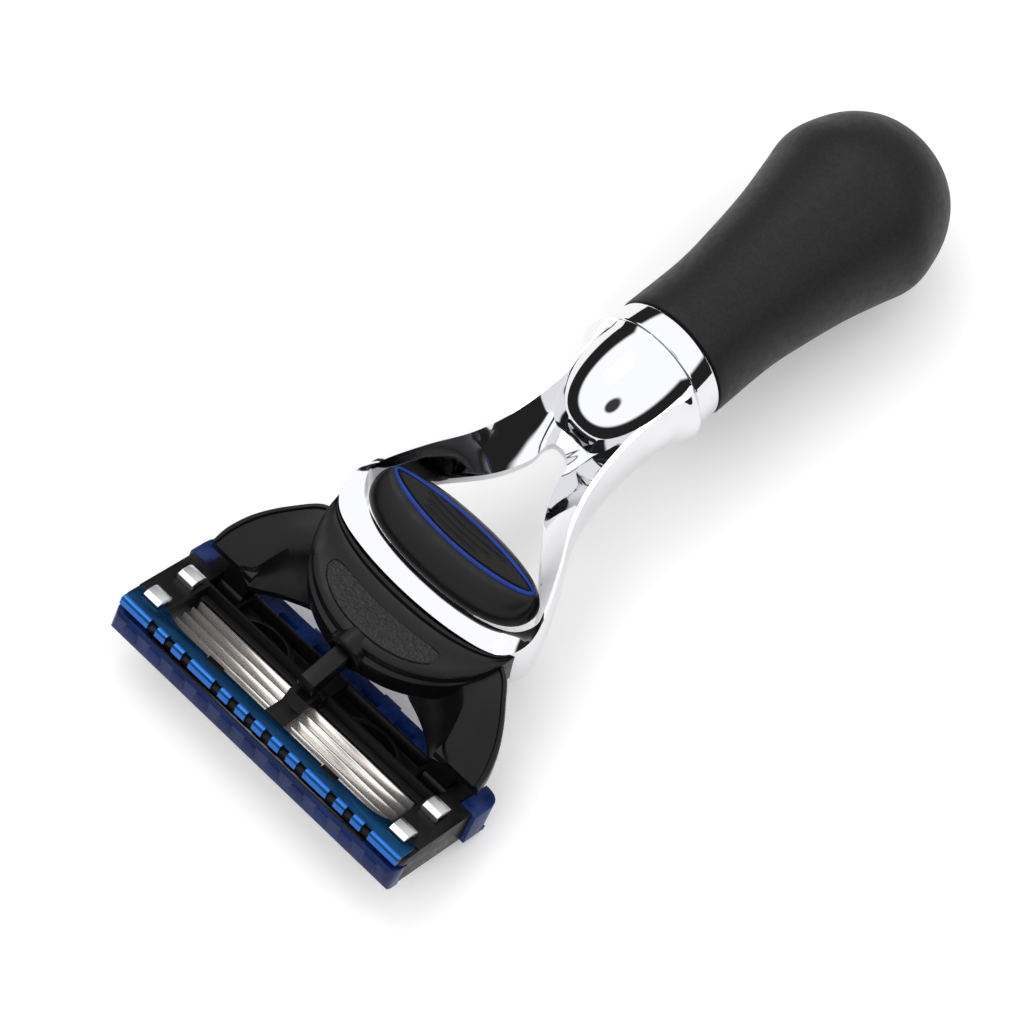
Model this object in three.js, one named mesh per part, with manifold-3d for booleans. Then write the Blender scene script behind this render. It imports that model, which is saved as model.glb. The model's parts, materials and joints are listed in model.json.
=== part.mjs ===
// Cartridge razor: a chrome frame handle with a soft bulb grip, a sliding release button, a black
// snap-on yoke, and a five-blade cartridge that pivots on the yoke against a sprung plunger.
// Millimetres, +Z up. The handle frame has the grip axis along +Y and the collar face at y = 0.
import * as THREE from "three";
import { mergeVertices } from "three/addons/utils/BufferGeometryUtils.js";
import Module from "manifold-3d";

const wasm = await Module();
wasm.setup();

// ---------- driving dimensions ----------
const PITCH = 4.55; // how far the grip axis dips towards the bulb when the razor lies down, degrees
const DOCK_SLOPE = 2; // slope of the docking head and of every slide in it, degrees
const CARTRIDGE_TILT = 18.4; // tilt of the cartridge against the grip axis at rest, degrees
const GAP = 0.08; // between pieces that are fixed to each other
const SLIDE_GAP = 0.2; // between pieces that slide or turn past each other

// grip and collar
const COLLAR_R = 7.0;
const GRIP_LENGTH = 37.4;
const GRIP_NECK_R = 7.1;
const GRIP_BULB_R = 10.25;
const GRIP_BULB_Y = 27.0;
const CORE_R = 4.4;
const CORE_LENGTH = 30.5;
const TANG_R = 3.0;
const TANG_LENGTH = 9.0;
const SEAL_R = 5.7;
const SEAL_WIRE_R = 0.45;

// neck frame
const NECK_BACK = -3.1;
const NOSE_LENGTH = 11.0;
const NECK_DEPTH = 6.9;
const HEAD_HALF_WIDTH = 12.6;
const HEAD_FRONT = -37.1;
const RIM_WIDTH = 0.5;
const FUNNEL = 4.2; // how far the inner walls fall from the rim to the window
const WINDOW_WALL = 1.0;

// docking head, in the dock frame (origin on its axis, v along +Y, w up)
const DOCK_ORIGIN = new THREE.Vector3(0, -36, -5.2);
const LIP_TOP = 1.7;
const HEAD_BOTTOM = -3.9;
const DOCK_HALF_WIDTH = 5.2;
const DOCK_TOP = 0.6;
const DOCK_BOTTOM = -2.0;
const DOCK_REACH = 7.6;
const DOCK_TAIL = 9.2;
const PLUNGER_HALF = 0.95; // the bar is square, this wide to each side
const PLUNGER_W = -0.7;
const PLUNGER_TIP = -14.6;
const PLUNGER_TAIL = -3.4;

// button
const BUTTON_HALF_LENGTH = 10.8;
const BUTTON_FRONT = 1.3;
const BUTTON_REAR = 9.6;
const BUTTON_HEIGHT = 2.9;
const BUTTON_CRESCENT = 2.4;
const BUTTON_TRAVEL = 4.0;
const PAD_GROOVES = 4;
const LEG_X = 3.4;
const LEG_HALF = 1.0;
const LEG_FRONT = 7.0;
const LEG_LENGTH = 1.4;
const DOCK_FLOOR = 0.3;

// yoke
const YOKE_HALF_WIDTH = 12.3;
const YOKE_DEPTH = 11.5;
const YOKE_CENTRE_V = 2.4;
const YOKE_REAR = -1.5;
const YOKE_TOP = 1.45;
const YOKE_BOTTOM = -2.7;
const BOSS_R = 2.3;
const BOSS_REACH = 9.4;
const ARM_WIDTH = 3.0;
const ARM_THICKNESS = 1.5;
const WEB_THICKNESS = 0.9;
const JOURNAL_R = 1.4;

// cartridge, in its own frame (u along the depth towards the handle, n up through the back)
const CARTRIDGE_ORIGIN = new THREE.Vector3(0, -51.55, -8.23);
const HALF_LENGTH = 19.6;
const CAP_EDGE = -5.0;
const GUARD_EDGE = 9.7;
const HOUSING_TOP = -0.35;
const HOUSING_BOTTOM = -4.4;
const CORNER_R = 1.1;
const WINDOW_CAP_EDGE = -4.4;
const WINDOW_EDGE = 2.9;
const END_WALL = 4.0; // housing between its end and the blades' window
const WINDOW_END = HALF_LENGTH - END_WALL;
const CENTRE_RIB = 1.25;
const FLOOR_TOP = -2.2;
const FACE = -4.9; // the shaving face
const LEDGE_WALL = 3.7;
const LEDGE_TOP = -1.75;
const WALL = 0.3;
const CAP_INNER = -3.6;
const CAP_CORNER = 1.4;
const TRIMMER_N = -1.65;
const CAM_TOP = 0.9;
const ARC_X = 7.6;
const ARC_HALF = 3.7;
const ARC_RISE = 2.3;
const ARC_WALL = 0.35;
const ARC_TOP = -0.9;
const GUARD_TOP = -1.2;
const GUARD_FLOOR = -3.9;
const GUARD_INNER = 4.9;
const GUARD_INSET = 2.2;
const GUARD_HALF = HALF_LENGTH - GUARD_INSET;
const GUARD_STEP = 0.5;
const SLOT_PLACES = [3.3, 8.2];
const CORNER_POST_X = GUARD_HALF + 0.5;
const CORNER_POST_U = 5.6;
const CORNER_POST_TOP = -0.6;
const FLOOR_EDGE = 7.0;
const POCKET_INSET = 1.2; // from the window's end to the middle of the pivot's pocket
const POCKET_X = WINDOW_END - POCKET_INSET;
const YOKE_BAY_END = POCKET_X - 2.1;
const PIVOT_U = 6.9;
const PIVOT_N = -2.2;
const CLIP_INSET = 2.4;
const CLIP_X = HALF_LENGTH - CLIP_INSET;
const CLIP_PITCH = 4.94;
const CLIP_WIDTH = 2.1;
const CLIP_TAB = 2.1;
const CLIP_THICKNESS = 0.35;
const BLADES = 5;
const BLADE_PITCH = 1.2;
const BLADE_FIRST_U = -2.7;
const BLADE_END_GAP = 0.6;
const BLADE_HALF_LENGTH = WINDOW_END - BLADE_END_GAP;
const SUPPORT_THICKNESS = 0.24;
const SUPPORT_TOP = -1.4;
const SUPPORT_KNEE = -3.4;
const FOOT = 0.75;
const BLADE_REACH = 1.75;
const BLADE_STEEL = 0.16;
const BLADE_FLOAT = 0.3;
const PLATE_THICKNESS = 0.45;
const PLATE_EAR = -2.5;
const PLATE_EAR_X = WINDOW_END - 0.2;
const LIP_FOLD = 0.4;
const LIP_DROP = 1.0;
const PLATE_INNER = -3.3;
const NOTCHES_PER_SIDE = 6;
const NOTCH_PITCH = 2.37;
const NOTCH_HALF = 0.5;
const NOTCH_BITE = 0.22; // how far a notch reaches into the plate's flat
const NOTCH_BREAK = 1.85; // extra gap after the third notch from each end
const SNAP_X = 8.0; // middle of each snap tab on the plate's inner edge
const SCALLOPS = 11;
const SCALLOP_PITCH = 3.35;

// ---------- materials ----------
const paint = (color, roughness, metalness) =>
  new THREE.MeshStandardMaterial({ color, roughness, metalness });
const CHROME = paint(0xe4e6ea, 0.06, 1);
const SATIN_ALLOY = paint(0xc4c6c8, 0.35, 1);
const BLADE_METAL = paint(0xd8dadc, 0.2, 1);
const SPRING_STEEL = paint(0x9a9ca0, 0.3, 1);
const SOFT_BLACK = paint(0x1b1b1c, 0.75, 0);
const BLACK_PLASTIC = paint(0x101012, 0.4, 0);
const GUARD_BLUE = paint(0x101f58, 0.4, 0);
const CAP_BLUE = paint(0x2a3180, 0.35, 0);
const TEAL_PLATE = paint(0x0a4d86, 0.25, 0.8);
const RING_BLUE = paint(0x1c35a8, 0.35, 0);
const STRIP_GREEN = paint(0x9fb4c8, 0.6, 0);

// ---------- solids ----------
const radians = THREE.MathUtils.degToRad;

function solid(geometry) {
  const source = geometry.index ? geometry.toNonIndexed() : geometry;
  const bare = new THREE.BufferGeometry();
  bare.setAttribute("position", source.getAttribute("position"));
  const merged = mergeVertices(bare, 1e-4);
  return new wasm.Manifold(
    new wasm.Mesh({
      numProp: 3,
      vertProperties: merged.attributes.position.array,
      triVerts: new Uint32Array(merged.index.array),
    }),
  );
}

function geometryOf(manifold) {
  const mesh = manifold.getMesh();
  const geometry = new THREE.BufferGeometry();
  geometry.setAttribute("position", new THREE.BufferAttribute(mesh.vertProperties, 3));
  geometry.setIndex(new THREE.BufferAttribute(mesh.triVerts, 1));
  const flat = geometry.toNonIndexed();
  flat.computeVertexNormals();
  return flat;
}

const union = (parts) => parts.reduce((sum, part) => sum.add(part));
const cut = (body, tools) => tools.reduce((rest, tool) => rest.subtract(tool), body);

function block(x0, x1, y0, y1, z0, z1) {
  const box = new THREE.BoxGeometry(x1 - x0, y1 - y0, z1 - z0);
  return solid(box.translate((x0 + x1) / 2, (y0 + y1) / 2, (z0 + z1) / 2));
}

const endX = (side, x0, x1) => (side > 0 ? [x0, x1] : [-x1, -x0]);

// The same block on both sides of x = 0.
function blocks(x0, x1, y0, y1, z0, z1) {
  return union([block(x0, x1, y0, y1, z0, z1), block(-x1, -x0, y0, y1, z0, z1)]);
}

// An XY outline raised from z0 to z1, with its edges rounded by bevel.
function raise(shape, z0, z1, bevel = 0, curveSegments = 10) {
  const geometry = new THREE.ExtrudeGeometry(shape, {
    depth: z1 - z0 - 2 * bevel,
    bevelEnabled: bevel > 0,
    bevelThickness: bevel,
    bevelSize: bevel,
    bevelOffset: -bevel,
    bevelSegments: 2,
    curveSegments,
  });
  return solid(geometry.translate(0, 0, z0 + bevel));
}

// A side outline of [y, z] points pushed along X from x0 to x1.
function push(points, x0, x1) {
  const shape = new THREE.Shape(points.map(([y, z]) => new THREE.Vector2(y, z)));
  const geometry = new THREE.ExtrudeGeometry(shape, { depth: x1 - x0, bevelEnabled: false });
  const turn = new THREE.Matrix4().set(0, 0, 1, x0, 1, 0, 0, 0, 0, 1, 0, 0, 0, 0, 0, 1);
  return solid(geometry.applyMatrix4(turn));
}

// A profile of [radius, y] points turned about the Y axis.
function turned(points, segments = 32) {
  const profile = points.map(([r, y]) => new THREE.Vector2(r, y));
  return solid(new THREE.LatheGeometry(profile, segments));
}

function rodAlongY(radius, y0, y1, x = 0, z = 0, segments = 20) {
  const rod = new THREE.CylinderGeometry(radius, radius, y1 - y0, segments);
  return solid(rod.translate(x, (y0 + y1) / 2, z));
}

function rodAlongX(radius, x0, x1, y, z, segments = 20) {
  const rod = new THREE.CylinderGeometry(radius, radius, x1 - x0, segments);
  return solid(rod.rotateZ(Math.PI / 2).translate((x0 + x1) / 2, y, z));
}

// A skin over rails: each rail is a list of points, and every station joins its points in turn.
// A closed loft is a ring of stations, and an open one is capped with flat fans.
function loft(rails, closed) {
  const stations = rails[0].length;
  const sides = rails.length;
  const positions = [];
  const at = (rail, station) => rails[rail % sides][station % stations];
  const face = (a, b, c) => positions.push(...a.toArray(), ...b.toArray(), ...c.toArray());
  const spans = closed ? stations : stations - 1;
  for (let s = 0; s < spans; s += 1) {
    for (let r = 0; r < sides; r += 1) {
      face(at(r, s), at(r, s + 1), at(r + 1, s));
      face(at(r + 1, s), at(r, s + 1), at(r + 1, s + 1));
    }
  }
  if (!closed) {
    for (let r = 1; r < sides - 1; r += 1) {
      face(at(0, 0), at(r, 0), at(r + 1, 0));
      face(at(0, stations - 1), at(r + 1, stations - 1), at(r, stations - 1));
    }
  }
  const geometry = new THREE.BufferGeometry();
  geometry.setAttribute("position", new THREE.Float32BufferAttribute(positions, 3));
  const made = solid(geometry);
  if (made.volume() > 0) return made;
  return solid(turnInsideOut(geometry));
}

function turnInsideOut(geometry) {
  const p = geometry.attributes.position;
  for (let i = 0; i < p.count; i += 3) {
    for (const axis of [0, 1, 2]) {
      const held = p.getComponent(i, axis);
      p.setComponent(i, axis, p.getComponent(i + 1, axis));
      p.setComponent(i + 1, axis, held);
    }
  }
  return geometry;
}

const smooth = (points, count, closed = false) => {
  const curve = new THREE.CatmullRomCurve3(points, closed, "centripetal");
  const samples = closed ? count : count - 1;
  return Array.from({ length: count }, (_, i) => curve.getPoint(i / samples));
};

function roundedBox(x0, x1, y0, y1, radius) {
  const shape = new THREE.Shape();
  shape.moveTo(x0 + radius, y0);
  shape.lineTo(x1 - radius, y0);
  shape.absarc(x1 - radius, y0 + radius, radius, -Math.PI / 2, 0);
  shape.lineTo(x1, y1 - radius);
  shape.absarc(x1 - radius, y1 - radius, radius, 0, Math.PI / 2);
  shape.lineTo(x0 + radius, y1);
  shape.absarc(x0 + radius, y1 - radius, radius, Math.PI / 2, Math.PI);
  shape.lineTo(x0, y0 + radius);
  shape.absarc(x0 + radius, y0 + radius, radius, Math.PI, 1.5 * Math.PI);
  return shape;
}

// ---------- groups ----------
const razor = new THREE.Group();
const handle = new THREE.Group();
const dock = new THREE.Group();
const cartridge = new THREE.Group();
razor.add(handle);
handle.add(dock, cartridge);
handle.rotation.x = -radians(PITCH);
dock.position.copy(DOCK_ORIGIN);
dock.rotation.x = radians(DOCK_SLOPE);
cartridge.position.copy(CARTRIDGE_ORIGIN);
cartridge.rotation.x = -radians(CARTRIDGE_TILT);

function place(group, name, made, material) {
  const mesh = new THREE.Mesh(geometryOf(made), material);
  mesh.name = name;
  group.add(mesh);
  return mesh;
}

// Takes a solid from one group's frame to another's.
function carry(made, from, to) {
  razor.updateMatrixWorld(true);
  const matrix = to.matrixWorld.clone().invert().multiply(from.matrixWorld);
  return solid(geometryOf(made).applyMatrix4(matrix));
}

// ---------- grip ----------
function gripShell() {
  const outer = [
    [GRIP_NECK_R - 0.25, GAP],
    [GRIP_NECK_R, 0.35],
  ];
  const rise = new THREE.CatmullRomCurve3(
    [
      [GRIP_NECK_R, 0.4],
      [GRIP_NECK_R - 0.02, 8],
      [GRIP_NECK_R + 0.5, 13.2],
      [GRIP_NECK_R + 1.35, 18.9],
      [GRIP_BULB_R - 0.75, 23.6],
      [GRIP_BULB_R, GRIP_BULB_Y],
      [GRIP_BULB_R - 0.5, GRIP_BULB_Y + 3],
      [GRIP_BULB_R - 1.75, GRIP_BULB_Y + 6],
      [GRIP_BULB_R - 3.9, GRIP_BULB_Y + 8.5],
      [GRIP_BULB_R - 7.2, GRIP_LENGTH - 0.35],
      [0, GRIP_LENGTH],
    ].map(([r, y]) => new THREE.Vector3(r, y, 0)),
    false,
    "centripetal",
  );
  for (const point of rise.getPoints(24).slice(1, -1)) outer.push([point.x, point.y]);
  const profile = [
    [CORE_R + GAP, GAP],
    ...outer,
    [0, GRIP_LENGTH],
    [0, CORE_LENGTH + GAP],
    [CORE_R + GAP, CORE_LENGTH + GAP],
    [CORE_R + GAP, GAP],
  ];
  const shell = turned(profile, 40);
  const groove = turned(sealSection(SEAL_WIRE_R + GAP), 40);
  return cut(shell, [groove]);
}

function sealSection(wire) {
  const section = [];
  for (let i = 0; i <= 10; i += 1) {
    const angle = (i / 10) * 2 * Math.PI;
    section.push([SEAL_R + wire * Math.cos(angle), 0.35 + wire * Math.sin(angle)]);
  }
  return section;
}

function buildGrip() {
  place(handle, "grip_shell", gripShell(), SOFT_BLACK);
  const seal = cut(turned(sealSection(SEAL_WIRE_R), 40), [
    rodAlongY(COLLAR_R, -2, GAP),
  ]);
  place(handle, "grip_seal", seal, SOFT_BLACK);
  const tangHole = rodAlongY(TANG_R + GAP, -1, TANG_LENGTH + GAP);
  const core = turned(
    [
      [0, GAP],
      [CORE_R, GAP],
      [CORE_R, 20],
      [CORE_R - 0.6, 20.6],
      [CORE_R - 0.6, 22.4],
      [CORE_R, 23],
      [CORE_R, CORE_LENGTH - 0.8],
      [CORE_R - 0.8, CORE_LENGTH],
      [0, CORE_LENGTH],
    ],
    32,
  );
  place(handle, "grip_core", cut(core, [tangHole]), SPRING_STEEL);
  const tang = turned(
    [
      [0, NECK_BACK - 3],
      [TANG_R, NECK_BACK - 3],
      [TANG_R, TANG_LENGTH - 0.6],
      [TANG_R - 0.6, TANG_LENGTH],
      [0, TANG_LENGTH],
    ],
    28,
  );
  place(handle, "tang_stud", tang, SPRING_STEEL);
  const front = NECK_BACK + GAP;
  const collar = turned(
    [
      [TANG_R + GAP, front],
      [COLLAR_R - 0.25, front],
      [COLLAR_R, front + 0.2],
      [COLLAR_R, -0.3],
      [COLLAR_R - 0.25, -GAP],
      [TANG_R + GAP, -GAP],
      [TANG_R + GAP, front],
    ],
    56,
  );
  place(handle, "collar_ring", collar, CHROME);
}

// ---------- neck frame ----------
const lipZ = (y, w) =>
  DOCK_ORIGIN.z + (y - DOCK_ORIGIN.y) * Math.tan(radians(DOCK_SLOPE)) + w / Math.cos(radians(DOCK_SLOPE));

// One half of the frame, from the middle of the lip round to the collar: the outer rim, the inner
// rim and the window edge, each as x, y, z.
const W = HEAD_HALF_WIDTH;
const FRAME_HALF = [
  { o: [0, HEAD_FRONT], r: [0, HEAD_FRONT + 2.5], w: [0, HEAD_FRONT + 2.5], top: null },
  { o: [6.4, HEAD_FRONT + 0.45], r: [5.4, HEAD_FRONT + 2.9], w: [5.4, HEAD_FRONT + 2.9], top: null },
  { o: [11.0, HEAD_FRONT + 1.8], r: [9.8, HEAD_FRONT + 4.3], w: [9.7, HEAD_FRONT + 4.3], top: null },
  { o: [W, HEAD_FRONT + 4.2], r: [W - 1.0, HEAD_FRONT + 6.1], w: [W - 1.6, HEAD_FRONT + 6.6], top: -2.3 },
  { o: [W - 0.8, -29.6], r: [W - 0.8 - RIM_WIDTH, -29.3], w: [W - 2.9, -28.2], top: -1.2 },
  { o: [9.7, -25.5], r: [9.7 - RIM_WIDTH, -25.3], w: [7.0, -25.2], top: 0 },
  { o: [7.3, -21.5], r: [7.3 - RIM_WIDTH, -21.3], w: [3.6, -21.2], top: 1.0 },
  { o: [5.8, -17], r: [5.8 - RIM_WIDTH, -16.9], w: [1.9, -18.0], top: 2.0 },
  { o: [5.2, -11.8], r: [5.2 - RIM_WIDTH, -11.8], w: [1.6, -16.4], top: 3.0 },
  { o: [5.3, -7], r: [5.3 - RIM_WIDTH, -7], w: [1.1, -16.0], top: 4.0 },
  { o: [5.2, NECK_BACK], r: [5.2 - RIM_WIDTH, NECK_BACK], w: [0.5, -15.9], top: 4.6 },
];
const BELLY = [0, 0, 0, 0.3, 0.5, 0.5, 0.5, 0.5, 0.7, 0.9, 1.7];

function neckRails() {
  const front = 3;
  const stations = FRAME_HALF.map((s, i) => {
    const outerTop = s.top === null ? lipZ(s.o[1], LIP_TOP) : s.top;
    const rimTop = s.top === null ? lipZ(s.r[1], LIP_TOP) : s.top;
    const windowTop = i < front ? rimTop - 0.4 : rimTop - FUNNEL;
    const bottom = Math.max(lipZ(s.o[1], HEAD_BOTTOM), outerTop - NECK_DEPTH);
    const windowBottom = i < front ? bottom : windowTop - WINDOW_WALL;
    return [
      [s.o[0] + 0.6 * BELLY[i], s.o[1], bottom],
      [s.o[0] + BELLY[i], s.o[1], bottom + 0.5 * (outerTop - bottom)],
      [s.o[0], s.o[1], outerTop],
      [s.r[0], s.r[1], rimTop],
      [s.w[0], s.w[1], windowTop],
      [s.w[0], s.w[1], windowBottom],
    ];
  });
  return stations[0].map((_, rail) => {
    const half = stations.map((station) => new THREE.Vector3(...station[rail]));
    const mirrored = half
      .slice(1)
      .reverse()
      .map((p) => new THREE.Vector3(-p.x, p.y, p.z));
    return smooth([...half, ...mirrored], 84, true);
  });
}

function barrel() {
  const points = [
    [0, NECK_BACK],
    [COLLAR_R - 0.1, NECK_BACK],
  ];
  for (let i = 0; i <= 12; i += 1) {
    const angle = (i / 12) * (Math.PI / 2);
    const radius = (COLLAR_R - 0.15) * Math.cos(angle) ** 0.8;
    points.push([i === 12 ? 0 : radius, NECK_BACK - 0.4 - NOSE_LENGTH * Math.sin(angle)]);
  }
  return turned(points.reverse(), 48);
}

function neckFrame() {
  const ring = loft(neckRails(), true);
  const floor = block(-COLLAR_R, COLLAR_R, NECK_BACK - 20, NECK_BACK - 5, -20, -4.6);
  const body = cut(ring.add(barrel()), [floor]);
  const slotGap = SLIDE_GAP;
  const slot = block(
    -DOCK_HALF_WIDTH - slotGap,
    DOCK_HALF_WIDTH + slotGap,
    -3,
    DOCK_TAIL - 5,
    DOCK_BOTTOM - slotGap,
    DOCK_TOP + slotGap,
  );
  const back = block(-9, 9, NECK_BACK, NECK_BACK + 3, -9, 9);
  const tangHole = rodAlongY(TANG_R + GAP, NECK_BACK - 3 - GAP, NECK_BACK + 1);
  return cut(body, [carry(slot, dock, handle), back, tangHole]);
}

// ---------- docking head ----------
const rectangle = (x, y0, y1) => roundedBox(-x, x, y0, y1, 0.6);

function buildDock() {
  const bore = plungerRoom(-DOCK_REACH - 1, 3.2, SLIDE_GAP);
  const springRoom = plungerRoom(3, DOCK_TAIL - 1.2, SLIDE_GAP);
  const body = raise(rectangle(DOCK_HALF_WIDTH, -DOCK_REACH, DOCK_TAIL), DOCK_BOTTOM, DOCK_TOP);
  const channels = blocks(
    LEG_X - LEG_HALF - SLIDE_GAP,
    LEG_X + LEG_HALF + SLIDE_GAP,
    LEG_FRONT - BUTTON_TRAVEL - 1.2,
    LEG_FRONT + LEG_LENGTH + SLIDE_GAP,
    DOCK_BOTTOM + DOCK_FLOOR,
    DOCK_TOP + 1,
  );
  place(dock, "dock_block", cut(body, [bore, springRoom, channels]), BLACK_PLASTIC);
}

// The square room of the bar between two places along its axis, with a gap round it.
function plungerRoom(y0, y1, gap) {
  const half = PLUNGER_HALF + gap;
  return block(-half, half, y0, y1, PLUNGER_W - half, PLUNGER_W + half);
}

function buildPlunger() {
  const half = PLUNGER_HALF;
  const tip = push(
    [
      [PLUNGER_TIP, PLUNGER_W - half + 0.5],
      [PLUNGER_TIP, PLUNGER_W + half - 0.5],
      [PLUNGER_TIP + 0.5, PLUNGER_W + half],
      [PLUNGER_TIP + 1, PLUNGER_W + half],
      [PLUNGER_TIP + 1, PLUNGER_W - half],
      [PLUNGER_TIP + 0.5, PLUNGER_W - half],
    ],
    -half,
    half,
  );
  place(dock, "plunger", plungerRoom(PLUNGER_TIP + 1, PLUNGER_TAIL, 0).add(tip), BLACK_PLASTIC);
}

// A compression spring along Y as one tube that follows a helix.
function spring(radius, wire, y0, y1, turns, x, z) {
  const points = [];
  const steps = turns * 10;
  for (let i = 0; i <= steps; i += 1) {
    const angle = (i / 10) * 2 * Math.PI;
    const y = y0 + wire + ((y1 - y0 - 2 * wire) * i) / steps;
    points.push(new THREE.Vector3(x + radius * Math.cos(angle), y, z + radius * Math.sin(angle)));
  }
  const section = new THREE.Shape();
  section.absarc(0, 0, wire, 0, 2 * Math.PI);
  return solid(
    new THREE.ExtrudeGeometry(section, {
      steps,
      curveSegments: 3,
      bevelEnabled: false,
      extrudePath: new THREE.CatmullRomCurve3(points),
    }),
  );
}

function buildSprings() {
  const y0 = PLUNGER_TAIL + GAP;
  const coil = spring(PLUNGER_HALF - 0.2, 0.14, y0, DOCK_TAIL - 1.3, 7, 0, PLUNGER_W);
  place(dock, "plunger_spring", coil, SPRING_STEEL);
  const front = LEG_FRONT - BUTTON_TRAVEL - 1.2 + GAP;
  const level = DOCK_BOTTOM + DOCK_FLOOR + LEG_HALF + 0.1;
  for (const [name, side] of [["button_spring_left", -1], ["button_spring_right", 1]]) {
    const back = spring(LEG_HALF - 0.25, 0.14, front, LEG_FRONT - GAP, 5, side * LEG_X, level);
    place(dock, name, back, SPRING_STEEL);
  }
}

// ---------- release button ----------
// The button's outline: a lens with a round front and a flatter rear edge.
function lens(inset, front, rear, points = 44) {
  const x = BUTTON_HALF_LENGTH - inset;
  const near = front + inset;
  const far = rear - inset;
  const middle = front + 0.55 * (rear - front);
  const shape = new THREE.Shape();
  shape.moveTo(-x, middle);
  shape.bezierCurveTo(-x, near + 1.2, -x * 0.55, near, 0, near);
  shape.bezierCurveTo(x * 0.55, near, x, near + 1.2, x, middle);
  shape.bezierCurveTo(x, far - 0.9, x * 0.55, far, 0, far);
  shape.bezierCurveTo(-x * 0.55, far, -x, far - 0.9, -x, middle);
  return shape.getSpacedPoints(points).slice(0, points);
}

// A solid whose outline changes with height: layers of [outline, z] from the bottom up.
function stack(layers) {
  const positions = [];
  const face = (a, b, c) => positions.push(...a, ...b, ...c);
  const rings = layers.map(([outline, z]) => outline.map((p) => [p.x, p.y, z]));
  const count = rings[0].length;
  for (let k = 0; k < rings.length - 1; k += 1) {
    for (let i = 0; i < count; i += 1) {
      const j = (i + 1) % count;
      face(rings[k][i], rings[k][j], rings[k + 1][i]);
      face(rings[k + 1][i], rings[k][j], rings[k + 1][j]);
    }
  }
  const middle = (ring) => [0, 1, 2].map((axis) => ring.reduce((sum, p) => sum + p[axis], 0) / count);
  const bottom = rings[0];
  const top = rings[rings.length - 1];
  const low = middle(bottom);
  const high = middle(top);
  for (let i = 0; i < count; i += 1) {
    const j = (i + 1) % count;
    face(bottom[j], bottom[i], low);
    face(top[i], top[j], high);
  }
  const geometry = new THREE.BufferGeometry();
  geometry.setAttribute("position", new THREE.Float32BufferAttribute(positions, 3));
  const made = solid(geometry);
  return made.volume() > 0 ? made : solid(turnInsideOut(geometry));
}

function buildButton() {
  const base = LIP_TOP + SLIDE_GAP;
  const top = base + BUTTON_HEIGHT;
  const front = BUTTON_FRONT;
  const ringFront = front + BUTTON_CRESCENT;
  const rear = BUTTON_REAR;
  const skirt = stack([
    [lens(0.25, front, rear), base],
    [lens(0, front, rear), base + 0.3],
    [lens(0.15, front + 0.25, rear), base + 1.2],
    [lens(0.5, front + 1.1, rear - 0.2), top - 0.9],
    [lens(0.9, front + 2.0, rear - 0.4), top - 0.45],
  ]);
  const ringRoom = stack([
    [lens(1.1 - GAP, ringFront, rear), base + 0.6],
    [lens(1.1 - GAP, ringFront, rear), top + 3],
  ]);
  const ring = stack([
    [lens(1.1, ringFront, rear), base + 0.6 + GAP],
    [lens(1.1, ringFront, rear), top - 0.4],
    [lens(1.3, ringFront, rear), top - 0.25],
  ]);
  const legBottom = DOCK_BOTTOM + DOCK_FLOOR + SLIDE_GAP;
  const legs = blocks(
    LEG_X - LEG_HALF,
    LEG_X + LEG_HALF,
    LEG_FRONT,
    LEG_FRONT + LEG_LENGTH,
    legBottom,
    base + 1,
  );
  const legRoom = blocks(
    LEG_X - LEG_HALF - GAP,
    LEG_X + LEG_HALF + GAP,
    LEG_FRONT - GAP,
    LEG_FRONT + LEG_LENGTH + GAP,
    base - 1,
    base + 1,
  );
  const padRoom = stack([
    [lens(1.9 - GAP, ringFront, rear), top - 1.2],
    [lens(1.9 - GAP, ringFront, rear), top + 3],
  ]);
  place(dock, "button_skirt", cut(skirt, [ringRoom, legRoom]), BLACK_PLASTIC);
  place(dock, "button_ring", cut(ring.add(legs), [padRoom]), RING_BLUE);
  const pad = stack([
    [lens(1.9, ringFront, rear), top - 1.2 + GAP],
    [lens(1.9, ringFront, rear), top - 0.3],
    [lens(2.3, ringFront, rear), top - 0.1],
  ]);
  const grooves = [];
  for (let i = 0; i < PAD_GROOVES; i += 1) {
    const y = ringFront + 2.6 + i * 0.8;
    const reach = 3.4 - 0.3 * Math.abs(i - (PAD_GROOVES - 1) / 2);
    grooves.push(block(-reach, reach, y, y + 0.35, top - 0.45, top + 2));
  }
  place(dock, "button_pad", cut(pad, grooves), SOFT_BLACK);
}

// ---------- yoke ----------
const PIVOT = new THREE.Vector3(0, PIVOT_U, PIVOT_N);

function pivotInHandle() {
  razor.updateMatrixWorld(true);
  const world = cartridge.localToWorld(PIVOT.clone());
  return handle.worldToLocal(world);
}

// One arm, from the crescent's side round and down to the pivot, on side +1 or -1. Each station has
// the outer edge, the inner edge of the raised lobe and the edge of the lower web.
const ARM = [
  { outer: [9.0, -35.6, -4.2], lobe: [8.0, -38.4, -4.6], web: [4.8, -41.2, -8.2] },
  { outer: [12.4, -35.5, -4.1], lobe: [10.3, -39.3, -4.9], web: [6.2, -42.1, -9.2] },
  {
    outer: [POCKET_X + 0.6, -37.9, -4.8],
    lobe: [POCKET_X - 2.5, -40.7, -5.5],
    web: [POCKET_X - 6, -42.8, -9.7],
  },
  {
    outer: [POCKET_X + 2.8, -40.6, -6.0],
    lobe: [POCKET_X - 1.7, -42.5, -6.3],
    web: [POCKET_X - 4, -43.8, -9.7],
  },
  {
    outer: [POCKET_X + 4, -43.1, -7.2],
    lobe: [POCKET_X - 1.1, -44.2, -7.1],
    web: [POCKET_X - 2.6, -44.9, -9.4],
  },
  {
    outer: [POCKET_X + 4.3, -45.0, -8.2],
    lobe: [POCKET_X + 0.2, -45.2, -7.8],
    web: [POCKET_X - 1.6, -45.6, -9.2],
  },
];

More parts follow.
